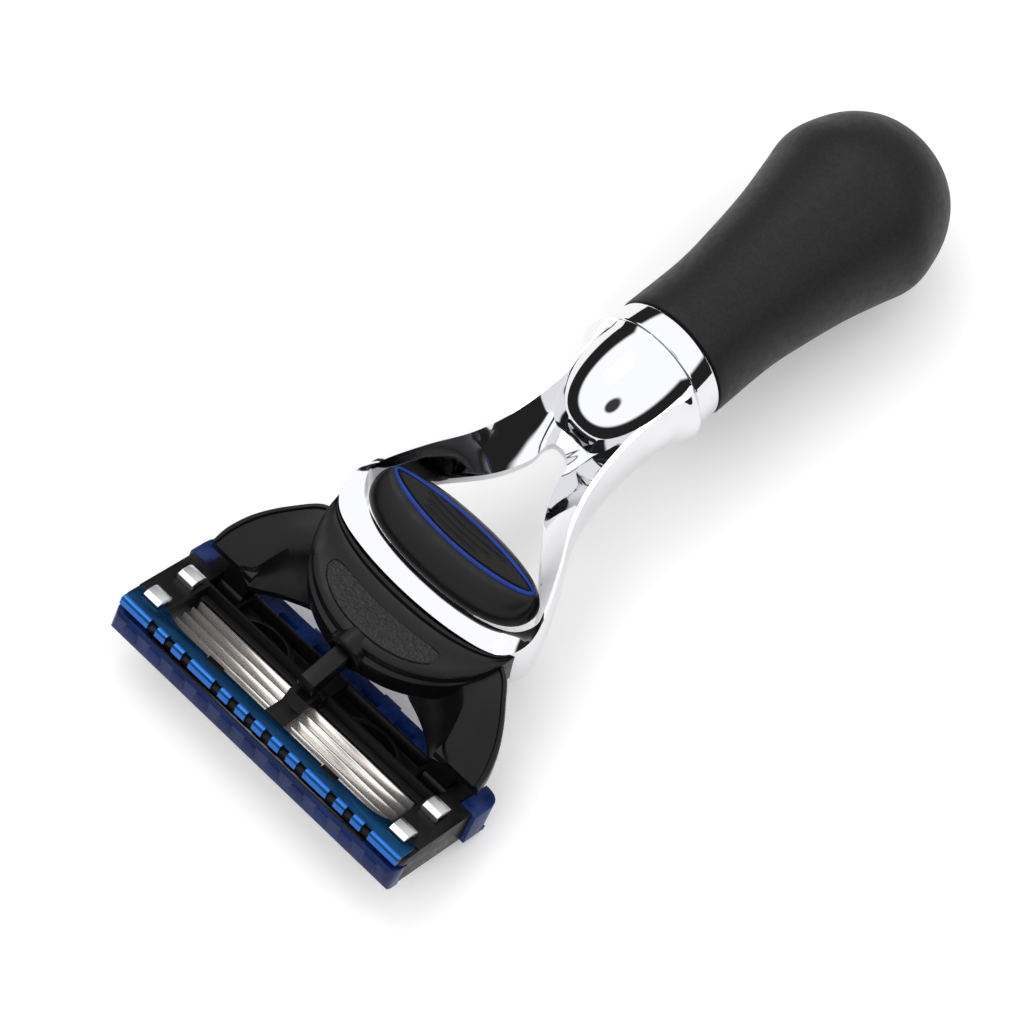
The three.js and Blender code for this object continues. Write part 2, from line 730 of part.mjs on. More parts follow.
function yokeArm(side) {
  const pivot = pivotInHandle();
  const x0 = POCKET_X - ARM_WIDTH / 2;
  const x1 = POCKET_X + ARM_WIDTH / 2;
  const point = ([x, y, z], drop) => new THREE.Vector3(side * x, y, z - drop);
  const edges = [
    ["outer", 0],
    ["lobe", 0],
    ["web", 0],
    ["web", WEB_THICKNESS],
    ["lobe", ARM_THICKNESS],
    ["outer", ARM_THICKNESS],
  ];
  const rails = edges.map(([edge, drop]) => smooth(ARM.map((station) => point(station[edge], drop)), 16));
  const wing = loft(rails, false);
  const leg = push(
    [
      [pivot.y - JOURNAL_R * 0.9, pivot.z],
      [pivot.y + JOURNAL_R * 0.9, pivot.z],
      [-43.6, -8.0],
      [-45.4, -8.4],
    ],
    ...endX(side, x0, x1),
  );
  const [from, to] = endX(side, x0, x1);
  const journal = rodAlongX(JOURNAL_R, from, to, pivot.y, pivot.z);
  return union([wing, leg, journal]);
}

function crescent() {
  const shape = new THREE.Shape();
  shape.absellipse(0, YOKE_CENTRE_V, YOKE_HALF_WIDTH, YOKE_DEPTH, 0, 2 * Math.PI);
  const disc = raise(shape, YOKE_BOTTOM, YOKE_TOP, 0.5, 24);
  const behind = block(-20, 20, YOKE_CENTRE_V + 1, 30, -20, 20);
  return cut(disc, [behind]);
}

// The head's plan outline grown by a gap, as a tall block in the handle frame.
function headClearance(gap) {
  const rail = neckRails()[1];
  const count = rail.length;
  const points = rail.map((p, i) => {
    const ahead = rail[(i + 1) % count];
    const behind = rail[(i + count - 1) % count];
    const along = new THREE.Vector2(ahead.x - behind.x, ahead.y - behind.y).normalize();
    return new THREE.Vector2(p.x + along.y * gap, p.y - along.x * gap);
  });
  return raise(new THREE.Shape(points), -30, 30);
}

function yoke() {
  const boss = rodAlongY(BOSS_R, -BOSS_REACH, YOKE_REAR - 5, 0, PLUNGER_W, 28);
  const socket = block(
    -DOCK_HALF_WIDTH - SLIDE_GAP,
    DOCK_HALF_WIDTH + SLIDE_GAP,
    -DOCK_REACH - SLIDE_GAP,
    5,
    DOCK_BOTTOM - SLIDE_GAP,
    DOCK_TOP + SLIDE_GAP,
  );
  const hole = plungerRoom(-20, 0, SLIDE_GAP);
  const arms = [1, -1].map((side) => carry(yokeArm(side), handle, dock));
  const body = union([crescent(), boss, ...arms]);
  const head = carry(headClearance(SLIDE_GAP), handle, dock);
  return cut(body, [socket, hole, head]);
}

// ---------- cartridge ----------
function clipSection(far, near, top, bottom) {
  const t = CLIP_THICKNESS;
  const reach = CLIP_TAB;
  return [
    [far - reach / 2, top],
    [far - reach / 4, top + 0.28],
    [far + reach / 4, top + 0.28],
    [far + reach / 2, top],
    [far + reach / 2, bottom + t],
    [near - reach / 2, bottom + t],
    [near - reach / 2, top],
    [near - reach / 4, top + 0.28],
    [near + reach / 4, top + 0.28],
    [near + reach / 2, top],
    [near + reach / 2, top - t],
    [near - reach / 2 + t, top - t],
    [near - reach / 2 + t, bottom],
    [far + reach / 2 - t, bottom],
    [far + reach / 2 - t, top - t],
    [far - reach / 2, top - t],
  ];
}

function buildClips() {
  for (const [name, side] of [["clip_left", -1], ["clip_right", 1]]) {
    const [x0, x1] = endX(side, CLIP_X - CLIP_WIDTH / 2, CLIP_X + CLIP_WIDTH / 2);
    const top = 0.32;
    const section = clipSection(-CLIP_PITCH / 2, CLIP_PITCH / 2, top, HOUSING_BOTTOM - 0.55);
    place(cartridge, name, push(section.reverse(), x0, x1), SATIN_ALLOY);
  }
}

// Room for the clips' legs, their tabs and the strap across the face.
function clipRoom() {
  const x0 = CLIP_X - CLIP_WIDTH / 2 - GAP;
  const x1 = CLIP_X + CLIP_WIDTH / 2 + GAP;
  const half = CLIP_PITCH / 2;
  const leg = CLIP_TAB / 2 - CLIP_THICKNESS;
  const rooms = [blocks(x0, x1, -half + leg - GAP, half - leg + GAP, HOUSING_BOTTOM - 1, HOUSING_BOTTOM)];
  for (const u of [-half, half]) {
    const inner = u < 0 ? u + CLIP_TAB / 2 : u - CLIP_TAB / 2;
    const outer = u < 0 ? inner - CLIP_THICKNESS : inner + CLIP_THICKNESS;
    const low = Math.min(inner, outer) - GAP;
    const high = Math.max(inner, outer) + GAP;
    rooms.push(blocks(x0, x1, low, high, HOUSING_BOTTOM - 1, 1));
    rooms.push(blocks(x0, x1, u - CLIP_TAB / 2 - GAP, u + CLIP_TAB / 2 + GAP, -0.2, 3));
  }
  return rooms;
}

function pivotPocket(side) {
  const [x0, x1] = endX(
    side,
    POCKET_X - ARM_WIDTH / 2 - SLIDE_GAP,
    POCKET_X + ARM_WIDTH / 2 + SLIDE_GAP,
  );
  const bearing = rodAlongX(JOURNAL_R + SLIDE_GAP, x0, x1, PIVOT_U, PIVOT_N, 24);
  const [r0, r1] = endX(side, YOKE_BAY_END - 0.1, POCKET_X + ARM_WIDTH / 2 + SLIDE_GAP);
  const mouth = block(r0, r1, LEDGE_WALL + WALL, GUARD_EDGE + 1, PIVOT_N + 1, 3);
  return union([bearing, block(x0, x1, PIVOT_U - 2.6, GUARD_EDGE + 1, PIVOT_N, 3), mouth]);
}

// A half-moon ridge on the floor behind the blades.
function floorArc(side) {
  const outer = new THREE.Shape();
  outer.absellipse(side * ARC_X, LEDGE_WALL, ARC_HALF, ARC_RISE, 0, Math.PI);
  const inner = new THREE.Shape();
  inner.absellipse(side * ARC_X, LEDGE_WALL - 1, ARC_HALF - ARC_WALL, ARC_RISE - ARC_WALL + 1, 0, Math.PI);
  return raise(outer, FLOOR_TOP - 0.2, ARC_TOP, 0, 14).subtract(raise(inner, FLOOR_TOP - 1, 2, 0, 14));
}

function housing() {
  const outline = roundedBox(-HALF_LENGTH, HALF_LENGTH, CAP_EDGE, GUARD_EDGE - 0.5, CORNER_R);
  const body = raise(outline, HOUSING_BOTTOM, HOUSING_TOP, 0, 6);
  const bladeTop = SUPPORT_TOP + BLADE_FLOAT + 0.15;
  const rooms = [
    blocks(CENTRE_RIB, WINDOW_END, WINDOW_CAP_EDGE, WINDOW_EDGE, -9, 3),
    block(-WINDOW_END, WINDOW_END, WINDOW_CAP_EDGE, WINDOW_EDGE, -9, bladeTop),
    blocks(CENTRE_RIB, WINDOW_END, WINDOW_EDGE - 1, LEDGE_WALL, LEDGE_TOP, 3),
    blocks(CENTRE_RIB, YOKE_BAY_END, LEDGE_WALL + WALL, FLOOR_EDGE - WALL, FLOOR_TOP, 3),
    block(-YOKE_BAY_END, YOKE_BAY_END, FLOOR_EDGE, GUARD_EDGE + 1, -9, 3),
    block(-HALF_LENGTH - 1, HALF_LENGTH + 1, CAP_EDGE - 1, CAP_INNER, -9, TRIMMER_N + GAP),
    block(-GUARD_HALF, GUARD_HALF, GUARD_INNER - GAP, 12, -9, GUARD_FLOOR),
    block(-30, 30, CORNER_POST_U - GAP, 12, -9, GUARD_FLOOR),
    block(-30, 30, -9, PLATE_INNER + GAP, -PLATE_THICKNESS - GAP, 3),
    blocks(PLATE_EAR_X - 1.4, 30, -9, PLATE_EAR + GAP, -PLATE_THICKNESS - GAP, 3),
    blocks(CORNER_POST_X - GAP, 30, CORNER_POST_U - GAP, 30, -9, 3),
    pivotPocket(1),
    pivotPocket(-1),
  ];
  const ridges = [floorArc(1), floorArc(-1)];
  const ramp = push(
    [
      [WINDOW_EDGE - 3.6, HOUSING_TOP - 0.4],
      [WINDOW_EDGE - 0.1, HOUSING_TOP - 0.4],
      [WINDOW_EDGE - 0.1, HOUSING_TOP + 0.1],
      [WINDOW_EDGE - 0.8, CAM_TOP],
      [WINDOW_EDGE - 2.8, CAM_TOP],
    ],
    -CENTRE_RIB,
    CENTRE_RIB,
  );
  const shaped = cut(body, rooms);
  return cut(union([shaped, ramp, ...ridges]), clipRoom());
}

function notchPlaces() {
  const places = [];
  for (let i = 0; i < NOTCHES_PER_SIDE; i += 1) {
    const at = (i + 0.5) * NOTCH_PITCH + (i > 2 ? NOTCH_BREAK : 0);
    places.push(at, -at);
  }
  return places;
}

function trimmerPlate() {
  const x = HALF_LENGTH - 0.3;
  const shape = new THREE.Shape();
  shape.moveTo(-x, CAP_EDGE);
  shape.lineTo(x, CAP_EDGE);
  shape.lineTo(x, PLATE_EAR - 0.8);
  shape.quadraticCurveTo(x, PLATE_EAR, x - 0.8, PLATE_EAR);
  shape.lineTo(PLATE_EAR_X, PLATE_EAR);
  shape.quadraticCurveTo(PLATE_EAR_X - 1, PLATE_INNER, PLATE_EAR_X - 3.2, PLATE_INNER);
  shape.lineTo(3.2 - PLATE_EAR_X, PLATE_INNER);
  shape.quadraticCurveTo(1 - PLATE_EAR_X, PLATE_INNER, -PLATE_EAR_X, PLATE_EAR);
  shape.lineTo(-x + 0.8, PLATE_EAR);
  shape.quadraticCurveTo(-x, PLATE_EAR, -x, PLATE_EAR - 0.8);
  const sheet = raise(shape, -PLATE_THICKNESS, 0, 0, 5);
  const lip = block(-x, x, CAP_EDGE - LIP_FOLD, CAP_EDGE, -LIP_DROP, -0.1);
  const tabs = blocks(SNAP_X - 1.1, SNAP_X + 1.1, PLATE_INNER - 0.5, PLATE_INNER + 1, -2, 1);
  const notches = notchPlaces().map((at) =>
    block(at - NOTCH_HALF, at + NOTCH_HALF, CAP_EDGE - 2, CAP_EDGE + NOTCH_BITE, -5, 2),
  );
  return cut(sheet.add(lip), [tabs, ...notches, ...clipRoom()]);
}

function snapTabs(side) {
  const at = side * SNAP_X;
  const x0 = at - 1.1 + GAP;
  const x1 = at + 1.1 - GAP;
  const end = PLATE_INNER + 0.3;
  const tongue = block(x0, x1, WINDOW_CAP_EDGE - 0.1, end, TRIMMER_N + GAP + 0.1, -PLATE_THICKNESS - GAP);
  return tongue.add(block(x0, x1, PLATE_INNER - 0.5 + GAP, end, -PLATE_THICKNESS - 0.3, -0.1));
}

function trimmerBlade() {
  const x = WINDOW_END - 0.4;
  return push(
    [
      [CAP_EDGE - 0.45, TRIMMER_N - 0.12],
      [CAP_EDGE + 1.1, TRIMMER_N - 0.16],
      [CAP_EDGE + 1.1, TRIMMER_N],
      [CAP_EDGE - 0.2, TRIMMER_N],
    ],
    -x,
    x,
  );
}

function stripSection(grow) {
  const u0 = CAP_EDGE + 0.15 - grow;
  const u1 = CAP_INNER - 0.35 + grow;
  return push(
    [
      [u0, FACE - 0.1],
      [u1, FACE - 0.1],
      [u1, FACE + 0.5 + grow],
      [u0, FACE + 0.5 + grow],
    ],
    -WINDOW_END - 1.4 - grow,
    WINDOW_END + 1.4 + grow,
  );
}

function cap() {
  const x = HALF_LENGTH;
  const top = TRIMMER_N - 0.16 - GAP;
  const inner = CAP_INNER - GAP;
  const bar = push(
    [
      [inner, top],
      [CAP_EDGE - 0.35, top],
      [CAP_EDGE - 0.6, top - 0.4],
      [CAP_EDGE - 0.5, FACE + 0.6],
      [CAP_EDGE, FACE],
      [inner, FACE],
    ],
    -x,
    x,
  );
  const bumps = [];
  for (let i = 0; i < SCALLOPS; i += 1) {
    const at = (i - (SCALLOPS - 1) / 2) * SCALLOP_PITCH;
    bumps.push(block(at - 0.8, at + 0.8, CAP_EDGE - 0.75, CAP_EDGE, FACE + 0.9, top - 0.6));
  }
  const ends = raise(roundedBox(-x, x, CAP_EDGE - 0.8, CAP_EDGE + 6, CAP_CORNER), FACE - 1, 0, 0, 5);
  return cut(union([bar, ...bumps]).intersect(ends), [stripSection(GAP)]);
}

// A plan outline with a large corner radius, for the blue posts at the guard's ends.
function cornerPost(side) {
  const shape = new THREE.Shape();
  const x0 = CORNER_POST_X;
  const x1 = HALF_LENGTH + GUARD_STEP;
  const radius = x1 - x0 - 0.2;
  shape.moveTo(side * x0, CORNER_POST_U);
  shape.lineTo(side * x1, CORNER_POST_U);
  shape.lineTo(side * x1, GUARD_EDGE - radius);
  shape.quadraticCurveTo(side * x1, GUARD_EDGE, side * (x1 - radius), GUARD_EDGE);
  shape.lineTo(side * x0, GUARD_EDGE);
  return raise(shape, GUARD_FLOOR - 0.4, CORNER_POST_TOP, 0, 8);
}

function guard() {
  const x = YOKE_BAY_END - SLIDE_GAP;
  const inner = FLOOR_EDGE + GAP;
  const bar = block(-x, x, inner, GUARD_EDGE, GUARD_FLOOR - 0.4, GUARD_TOP);
  const steps = blocks(3.9, 6.1, GUARD_EDGE - 0.2, GUARD_EDGE + 0.25, GUARD_TOP - 0.9, GUARD_TOP);
  const slots = SLOT_PLACES.map((at) =>
    blocks(at - 1.25, at + 1.25, inner + 0.65, inner + 1.45, GUARD_TOP - 0.8, GUARD_TOP + 1),
  );
  const base = block(
    -GUARD_HALF + GAP,
    GUARD_HALF - GAP,
    GUARD_INNER,
    GUARD_EDGE,
    FACE + 0.35,
    GUARD_FLOOR - GAP,
  );
  const solidGuard = union([bar, steps, base, cornerPost(1), cornerPost(-1)]);
  const x1 = HALF_LENGTH + GUARD_STEP;
  const wings = blocks(GUARD_HALF - 1, x1, CORNER_POST_U, GUARD_EDGE - 1, FACE + 0.35, GUARD_FLOOR - GAP);
  return cut(solidGuard.add(wings), slots);
}

function guardFins() {
  const u0 = GUARD_INNER + 0.3;
  const u1 = GUARD_EDGE - 0.3;
  const top = FACE + 0.35 - GAP;
  const points = [[u0, top]];
  const count = 8;
  const step = (u1 - u0) / count;
  for (let i = 0; i < count; i += 1) {
    points.push([u0 + i * step, FACE + 0.1]);
    points.push([u0 + (i + 0.5) * step, FACE - 0.25]);
  }
  points.push([u1, FACE + 0.1], [u1, top]);
  return push(points, -GUARD_HALF + 0.6, GUARD_HALF - 0.6);
}

function buildBlades() {
  const x = BLADE_HALF_LENGTH;
  const t = SUPPORT_THICKNESS;
  const slope = Math.SQRT1_2;
  for (let i = 0; i < BLADES; i += 1) {
    const u = BLADE_FIRST_U + i * BLADE_PITCH;
    const knee = SUPPORT_KNEE;
    const support = push(
      [
        [u, SUPPORT_TOP],
        [u, knee],
        [u - FOOT * slope, knee - FOOT * slope],
        [u + (t * 0.7 - FOOT) * slope, knee - (t * 0.7 + FOOT) * slope],
        [u + t, knee - 0.1],
        [u + t, SUPPORT_TOP],
      ],
      -x,
      x,
    );
    place(cartridge, `blade_support_${i + 1}`, support, BLADE_METAL);
    const edgeAt = (along, across) => [
      u + t + (across - along) * slope,
      knee - 0.1 - (across + along) * slope,
    ];
    const near = 0.06;
    const far = near + BLADE_STEEL;
    const edge = push(
      [edgeAt(0.3, near), edgeAt(BLADE_REACH, near), edgeAt(BLADE_REACH - 0.35, far), edgeAt(0.3, far)],
      -x,
      x,
    );
    place(cartridge, `blade_edge_${i + 1}`, edge, BLADE_METAL);
  }
}

function buildCartridge() {
  place(cartridge, "housing", union([housing(), snapTabs(1), snapTabs(-1)]), BLACK_PLASTIC);
  place(cartridge, "trimmer_cover", trimmerPlate(), TEAL_PLATE);
  place(cartridge, "trimmer_blade", trimmerBlade(), BLADE_METAL);
  place(cartridge, "cap", cap(), CAP_BLUE);
  place(cartridge, "lubricating_strip", stripSection(0), STRIP_GREEN);
  place(cartridge, "guard", guard(), GUARD_BLUE);
  place(cartridge, "guard_fins", guardFins(), GUARD_BLUE);
  buildBlades();
  buildClips();
}

buildGrip();
place(handle, "neck_frame", neckFrame(), CHROME);
buildDock();
buildPlunger();
buildSprings();
buildButton();
place(dock, "cartridge_yoke", yoke(), BLACK_PLASTIC);
buildCartridge();

// The razor lies with its guard and its bulb on z = 0, centred on its bounding box.
const bounds = new THREE.Box3().setFromObject(razor, true);
const middle = bounds.getCenter(new THREE.Vector3());
razor.position.set(-middle.x, -middle.y, -bounds.min.z);
razor.updateMatrixWorld(true);
export default razor;
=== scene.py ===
"""A cartridge razor lying on a pale studio floor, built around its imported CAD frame."""

import json
import math

import bmesh
import bpy
from mathutils import Matrix, Vector


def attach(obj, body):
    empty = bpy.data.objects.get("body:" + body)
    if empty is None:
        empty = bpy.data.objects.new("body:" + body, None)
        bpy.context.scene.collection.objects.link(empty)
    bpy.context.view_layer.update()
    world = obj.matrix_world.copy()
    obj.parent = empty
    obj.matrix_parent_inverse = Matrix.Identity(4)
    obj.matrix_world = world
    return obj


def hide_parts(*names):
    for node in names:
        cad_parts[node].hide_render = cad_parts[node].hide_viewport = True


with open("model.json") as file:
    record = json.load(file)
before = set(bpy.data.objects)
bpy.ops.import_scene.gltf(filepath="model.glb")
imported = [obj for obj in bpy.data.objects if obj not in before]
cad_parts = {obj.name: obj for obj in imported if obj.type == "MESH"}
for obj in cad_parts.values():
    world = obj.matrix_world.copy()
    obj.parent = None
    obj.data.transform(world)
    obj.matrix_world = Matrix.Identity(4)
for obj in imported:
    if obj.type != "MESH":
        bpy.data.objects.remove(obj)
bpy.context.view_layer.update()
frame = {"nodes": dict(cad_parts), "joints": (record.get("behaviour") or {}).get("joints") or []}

# ---------- the three local frames, in millimetres, as the CAD has them ----------
MM = 0.001
PITCH = 4.55  # dip of the grip's axis, degrees
DOCK_SLOPE = 2.0
CARTRIDGE_TILT = 18.4
DOCK_ORIGIN = Vector((0, -36, -5.2))
CARTRIDGE_ORIGIN = Vector((0, -51.55, -8.23))
PIVOT_IN_CARTRIDGE = Vector((0, 6.9, -2.2))
GAP = 0.08  # between pieces that are fixed to each other
SLIDE_GAP = 0.2  # between pieces that slide past each other


def turn_x(degrees):
    return Matrix.Rotation(math.radians(degrees), 4, "X")


def joint(name):
    return next(j for j in frame["joints"] if j["name"] == name)


def handle_matrix():
    """The handle's frame, hung on the cartridge's pivot."""
    pivot = Vector(joint("cartridge_pivot")["pos_m"])
    local = CARTRIDGE_ORIGIN + turn_x(-CARTRIDGE_TILT) @ PIVOT_IN_CARTRIDGE
    pitch = turn_x(-PITCH)
    origin = pivot - pitch @ (local * MM)
    return Matrix.Translation(origin) @ pitch @ Matrix.Scale(MM, 4)


HANDLE = handle_matrix()
DOCK = HANDLE @ Matrix.Translation(DOCK_ORIGIN) @ turn_x(DOCK_SLOPE)
CARTRIDGE = HANDLE @ Matrix.Translation(CARTRIDGE_ORIGIN) @ turn_x(-CARTRIDGE_TILT)


# ---------- node materials ----------
def shader(name, colour, roughness, metallic=0.0, coat=0.0, coat_roughness=0.1, specular=0.5):
    made = bpy.data.materials.new(name)
    made.use_nodes = True
    bsdf = made.node_tree.nodes["Principled BSDF"]
    bsdf.inputs["Base Color"].default_value = (*colour, 1)
    bsdf.inputs["Roughness"].default_value = roughness
    bsdf.inputs["Metallic"].default_value = metallic
    bsdf.inputs["Coat Weight"].default_value = coat
    bsdf.inputs["Coat Roughness"].default_value = coat_roughness
    bsdf.inputs["Specular IOR Level"].default_value = specular
    return made


def coordinates(made, scale=(1, 1, 1)):
    """Object coordinates in millimetres, stretched by scale."""
    nodes, links = made.node_tree.nodes, made.node_tree.links
    where = nodes.new("ShaderNodeTexCoord")
    mapping = nodes.new("ShaderNodeMapping")
    mapping.inputs["Scale"].default_value = [s / MM for s in scale]
    links.new(where.outputs["Object"], mapping.inputs["Vector"])
    return mapping.outputs["Vector"]


def noise(made, size, detail=2.0, roughness=0.5, stretch=(1, 1, 1)):
    """Noise whose features are about size millimetres across."""
    node = made.node_tree.nodes.new("ShaderNodeTexNoise")
    node.inputs["Scale"].default_value = 1 / size
    node.inputs["Detail"].default_value = detail
    node.inputs["Roughness"].default_value = roughness
    made.node_tree.links.new(coordinates(made, stretch), node.inputs["Vector"])
    return node.outputs["Fac"]


def cells(made, size):
    """Leather-like cells about size millimetres across."""
    node = made.node_tree.nodes.new("ShaderNodeTexVoronoi")
    node.feature = "SMOOTH_F1"
    node.inputs["Scale"].default_value = 1 / size
    made.node_tree.links.new(coordinates(made), node.inputs["Vector"])
    return node.outputs["Distance"]


def bump(made, height, depth, strength=1.0):
    """Bump of depth millimetres, after any bump that is already there."""
    nodes, links = made.node_tree.nodes, made.node_tree.links
    bsdf = nodes["Principled BSDF"]
    node = nodes.new("ShaderNodeBump")
    node.inputs["Distance"].default_value = depth * MM
    node.inputs["Strength"].default_value = strength
    links.new(height, node.inputs["Height"])
    if bsdf.inputs["Normal"].links:
        links.new(bsdf.inputs["Normal"].links[0].from_socket, node.inputs["Normal"])
    links.new(node.outputs["Normal"], bsdf.inputs["Normal"])


def ramp(made, source, low, high, start=0.3, end=0.7):
    """source mapped from start..end to the values or colours low..high."""
    node = made.node_tree.nodes.new("ShaderNodeValToRGB")
    first, last = node.color_ramp.elements
    first.position, last.position = start, end
    spread = lambda v: (*v, 1) if isinstance(v, tuple) else (v, v, v, 1)
    first.color, last.color = spread(low), spread(high)
    made.node_tree.links.new(source, node.inputs["Fac"])
    return node.outputs["Color"]


def vary(made, socket, output):
    made.node_tree.links.new(output, made.node_tree.nodes["Principled BSDF"].inputs[socket])


def chrome():
    made = shader("chrome_plate", (0.74, 0.745, 0.765), 0.03, 1.0)
    vary(made, "Roughness", ramp(made, noise(made, 6.0), 0.02, 0.05))
    bump(made, noise(made, 3.5, 1.0), 0.008)
    return made


def grip_rubber():
    made = shader("soft_touch_black", (0.010, 0.0095, 0.010), 0.5, specular=0.22)
    vary(made, "Roughness", ramp(made, noise(made, 0.9, 3.0), 0.44, 0.56))
    mottle = noise(made, 0.35, 3.0)
    vary(made, "Base Color", ramp(made, mottle, (0.010, 0.0096, 0.0102), (0.016, 0.015, 0.0155)))
    bump(made, noise(made, 0.22, 2.0), 0.012)
    return made


def black_moulding():
    made = shader("moulded_black", (0.004, 0.004, 0.0044), 0.26, specular=0.2)
    vary(made, "Roughness", ramp(made, noise(made, 1.6, 3.0), 0.25, 0.38))
    bump(made, noise(made, 0.5, 2.0), 0.004)
    return made


def housing_black():
    made = shader("housing_black", (0.003, 0.003, 0.0034), 0.32, specular=0.16)
    vary(made, "Roughness", ramp(made, noise(made, 0.8, 3.0), 0.28, 0.45))
    bump(made, noise(made, 0.16, 2.0), 0.006)
    return made


def leather_black():
    made = shader("leather_grain_black", (0.004, 0.004, 0.0044), 0.36, specular=0.32)
    bump(made, cells(made, 0.26), 0.1)
    bump(made, noise(made, 0.12, 2.0), 0.012)
    return made


def pad_black():
    made = shader("button_pad_black", (0.009, 0.009, 0.010), 0.6, specular=0.25)
    bump(made, noise(made, 0.16, 3.0), 0.05)
    return made


def blue_plastic(name, dark, light, roughness):
    made = shader(name, light, roughness, specular=0.2)
    vary(made, "Base Color", ramp(made, noise(made, 2.2, 3.0), dark, light))
    vary(made, "Roughness", ramp(made, noise(made, 0.6, 3.0), roughness * 0.85, roughness * 1.25))
    bump(made, noise(made, 0.4, 2.0), 0.006)
    return made


def teal_anodised():
    made = shader("teal_anodised", (0.004, 0.04, 0.12), 0.3, 0.85)
    brushed = noise(made, 0.14, 3.0, 0.6, (0.04, 1, 1))
    vary(made, "Roughness", ramp(made, brushed, 0.22, 0.36))
    drift = noise(made, 5.0, 2.0)
    vary(made, "Base Color", ramp(made, drift, (0.002, 0.035, 0.10), (0.004, 0.055, 0.15)))
    bump(made, brushed, 0.004)
    return made


# The lip is the teal plate folded over. Its brighter, lighter blue is painted highlight where the
# fold catches the light, not a colour of its own.
def lip_painted_highlight():
    made = shader("blue_lip_painted_highlight", (0.02, 0.13, 0.46), 0.24, 0.85)
    vary(made, "Roughness", ramp(made, noise(made, 0.8, 3.0), 0.16, 0.3))
    return made


def blade_steel():
    made = shader("blade_steel", (0.90, 0.86, 0.82), 0.2, 0.8)
    grain = noise(made, 2.5, 2.0, 0.5, (0.2, 1, 1))
    vary(made, "Roughness", ramp(made, grain, 0.17, 0.25))
    return made


def brushed_metal(name, colour, low, high, stretch, depth, metallic=1.0):
    made = shader(name, colour, low, metallic)
    brushed = noise(made, 0.09, 4.0, 0.65, stretch)
    vary(made, "Roughness", ramp(made, brushed, low, high))
    bump(made, brushed, depth)
    return made


MATERIALS = {
    "chrome": chrome(),
    "grip": grip_rubber(),
    "black": black_moulding(),
    "housing": housing_black(),
    "leather": leather_black(),
    "pad": pad_black(),
    "ring": blue_plastic("ring_blue", (0.006, 0.03, 0.21), (0.009, 0.045, 0.30), 0.34),
    "guard": blue_plastic("guard_blue", (0.003, 0.014, 0.075), (0.006, 0.03, 0.15), 0.28),
    "cap": blue_plastic("cap_blue", (0.003, 0.012, 0.07), (0.006, 0.022, 0.12), 0.28),
    "fins": blue_plastic("fin_rubber_blue", (0.006, 0.014, 0.07), (0.010, 0.022, 0.10), 0.6),
    "teal": teal_anodised(),
    "lip": lip_painted_highlight(),
    "blade": blade_steel(),
    "trimmer": brushed_metal("trimmer_steel", (0.12, 0.12, 0.13), 0.2, 0.3, (0.03, 1, 1), 0.0006),
    "clip": brushed_metal("clip_alloy", (0.80, 0.81, 0.82), 0.28, 0.42, (1, 0.05, 1), 0.006),
    "spring": brushed_metal("spring_steel", (0.55, 0.56, 0.58), 0.25, 0.4, (1, 1, 1), 0.004),
    "core": brushed_metal("turned_steel", (0.5, 0.5, 0.52), 0.3, 0.45, (1, 0.05, 1), 0.006),
    "strip": blue_plastic("lubricating_strip", (0.35, 0.46, 0.55), (0.5, 0.6, 0.68), 0.5),
}

# ---------- mesh helpers, in a local frame's millimetres ----------
BEVEL_ANGLE = math.radians(28)
SHARP_ANGLE = math.radians(35)


def finish_piece(name, mesh, space, material, body, nodes, bevel=0.0):
    """Makes the object of one piece, which rides on body and stands in for the CAD nodes."""
    mesh.transform(space)
    mesh.update()
    made = bpy.data.objects.new(name, mesh)
    bpy.context.collection.objects.link(made)
    mesh.materials.append(MATERIALS[material])
    soften(made, bevel)
    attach(made, body)
    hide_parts(*nodes)
    return made


def soften(made, bevel):
    """Rounds the edges by bevel millimetres and shades the rest smooth."""
    if bevel:
        edge = made.modifiers.new("rounded_edges", "BEVEL")
        edge.width = bevel * MM
        edge.segments = 2
        edge.limit_method = "ANGLE"
        edge.angle_limit = BEVEL_ANGLE
    made.data.shade_smooth()
    made.data.set_sharp_from_angle(angle=SHARP_ANGLE)


def mesh_of(name, points, faces):
    """A closed mesh with its faces turned outward."""
    bm = bmesh.new()
    verts = [bm.verts.new(p) for p in points]
    for face in faces:
        corners = [verts[i] for i in face]
        if len(set(corners)) > 2:
            bm.faces.new(corners)
    bmesh.ops.remove_doubles(bm, verts=bm.verts, dist=1e-5)
    bmesh.ops.recalc_face_normals(bm, faces=bm.faces)
    mesh = bpy.data.meshes.new(name)
    bm.to_mesh(mesh)
    bm.free()
    return mesh


def curve_through(points, steps, closed=False):
    """steps points for each span of a Catmull-Rom curve through the given points."""
    points = [Vector(p) for p in points]
    count = len(points)
    made = []
    spans = count if closed else count - 1
    for i in range(spans):
        if closed:
            p0, p1, p2, p3 = (points[(i + k) % count] for k in (-1, 0, 1, 2))
        else:
            p1, p2 = points[i], points[i + 1]
            p0 = points[i - 1] if i else p1 * 2 - p2
            p3 = points[i + 2] if i + 2 < count else p2 * 2 - p1
        for k in range(steps):
            t = k / steps
            bend = (
                p1 * 2
                + (p2 - p0) * t
                + (p0 * 2 - p1 * 5 + p2 * 4 - p3) * t * t
                + (p1 * 3 - p0 - p2 * 3 + p3) * t ** 3
            )
            made.append(bend / 2)
    if not closed:
        made.append(points[-1])
    return made


def turned(name, profile, segments=160):
    """A solid turned about the Y axis from points of radius and y, as an open or a closed line."""
    points, faces = [], []
    for r, y in profile:
        for i in range(segments):
            angle = 2 * math.pi * i / segments
            points.append((r * math.cos(angle), y, r * math.sin(angle)))
    for k in range(len(profile) - 1):
        for i in range(segments):
            j = (i + 1) % segments
            a, b = k * segments, (k + 1) * segments
            faces.append((a + i, a + j, b + j, b + i))
    return mesh_of(name, points, faces)


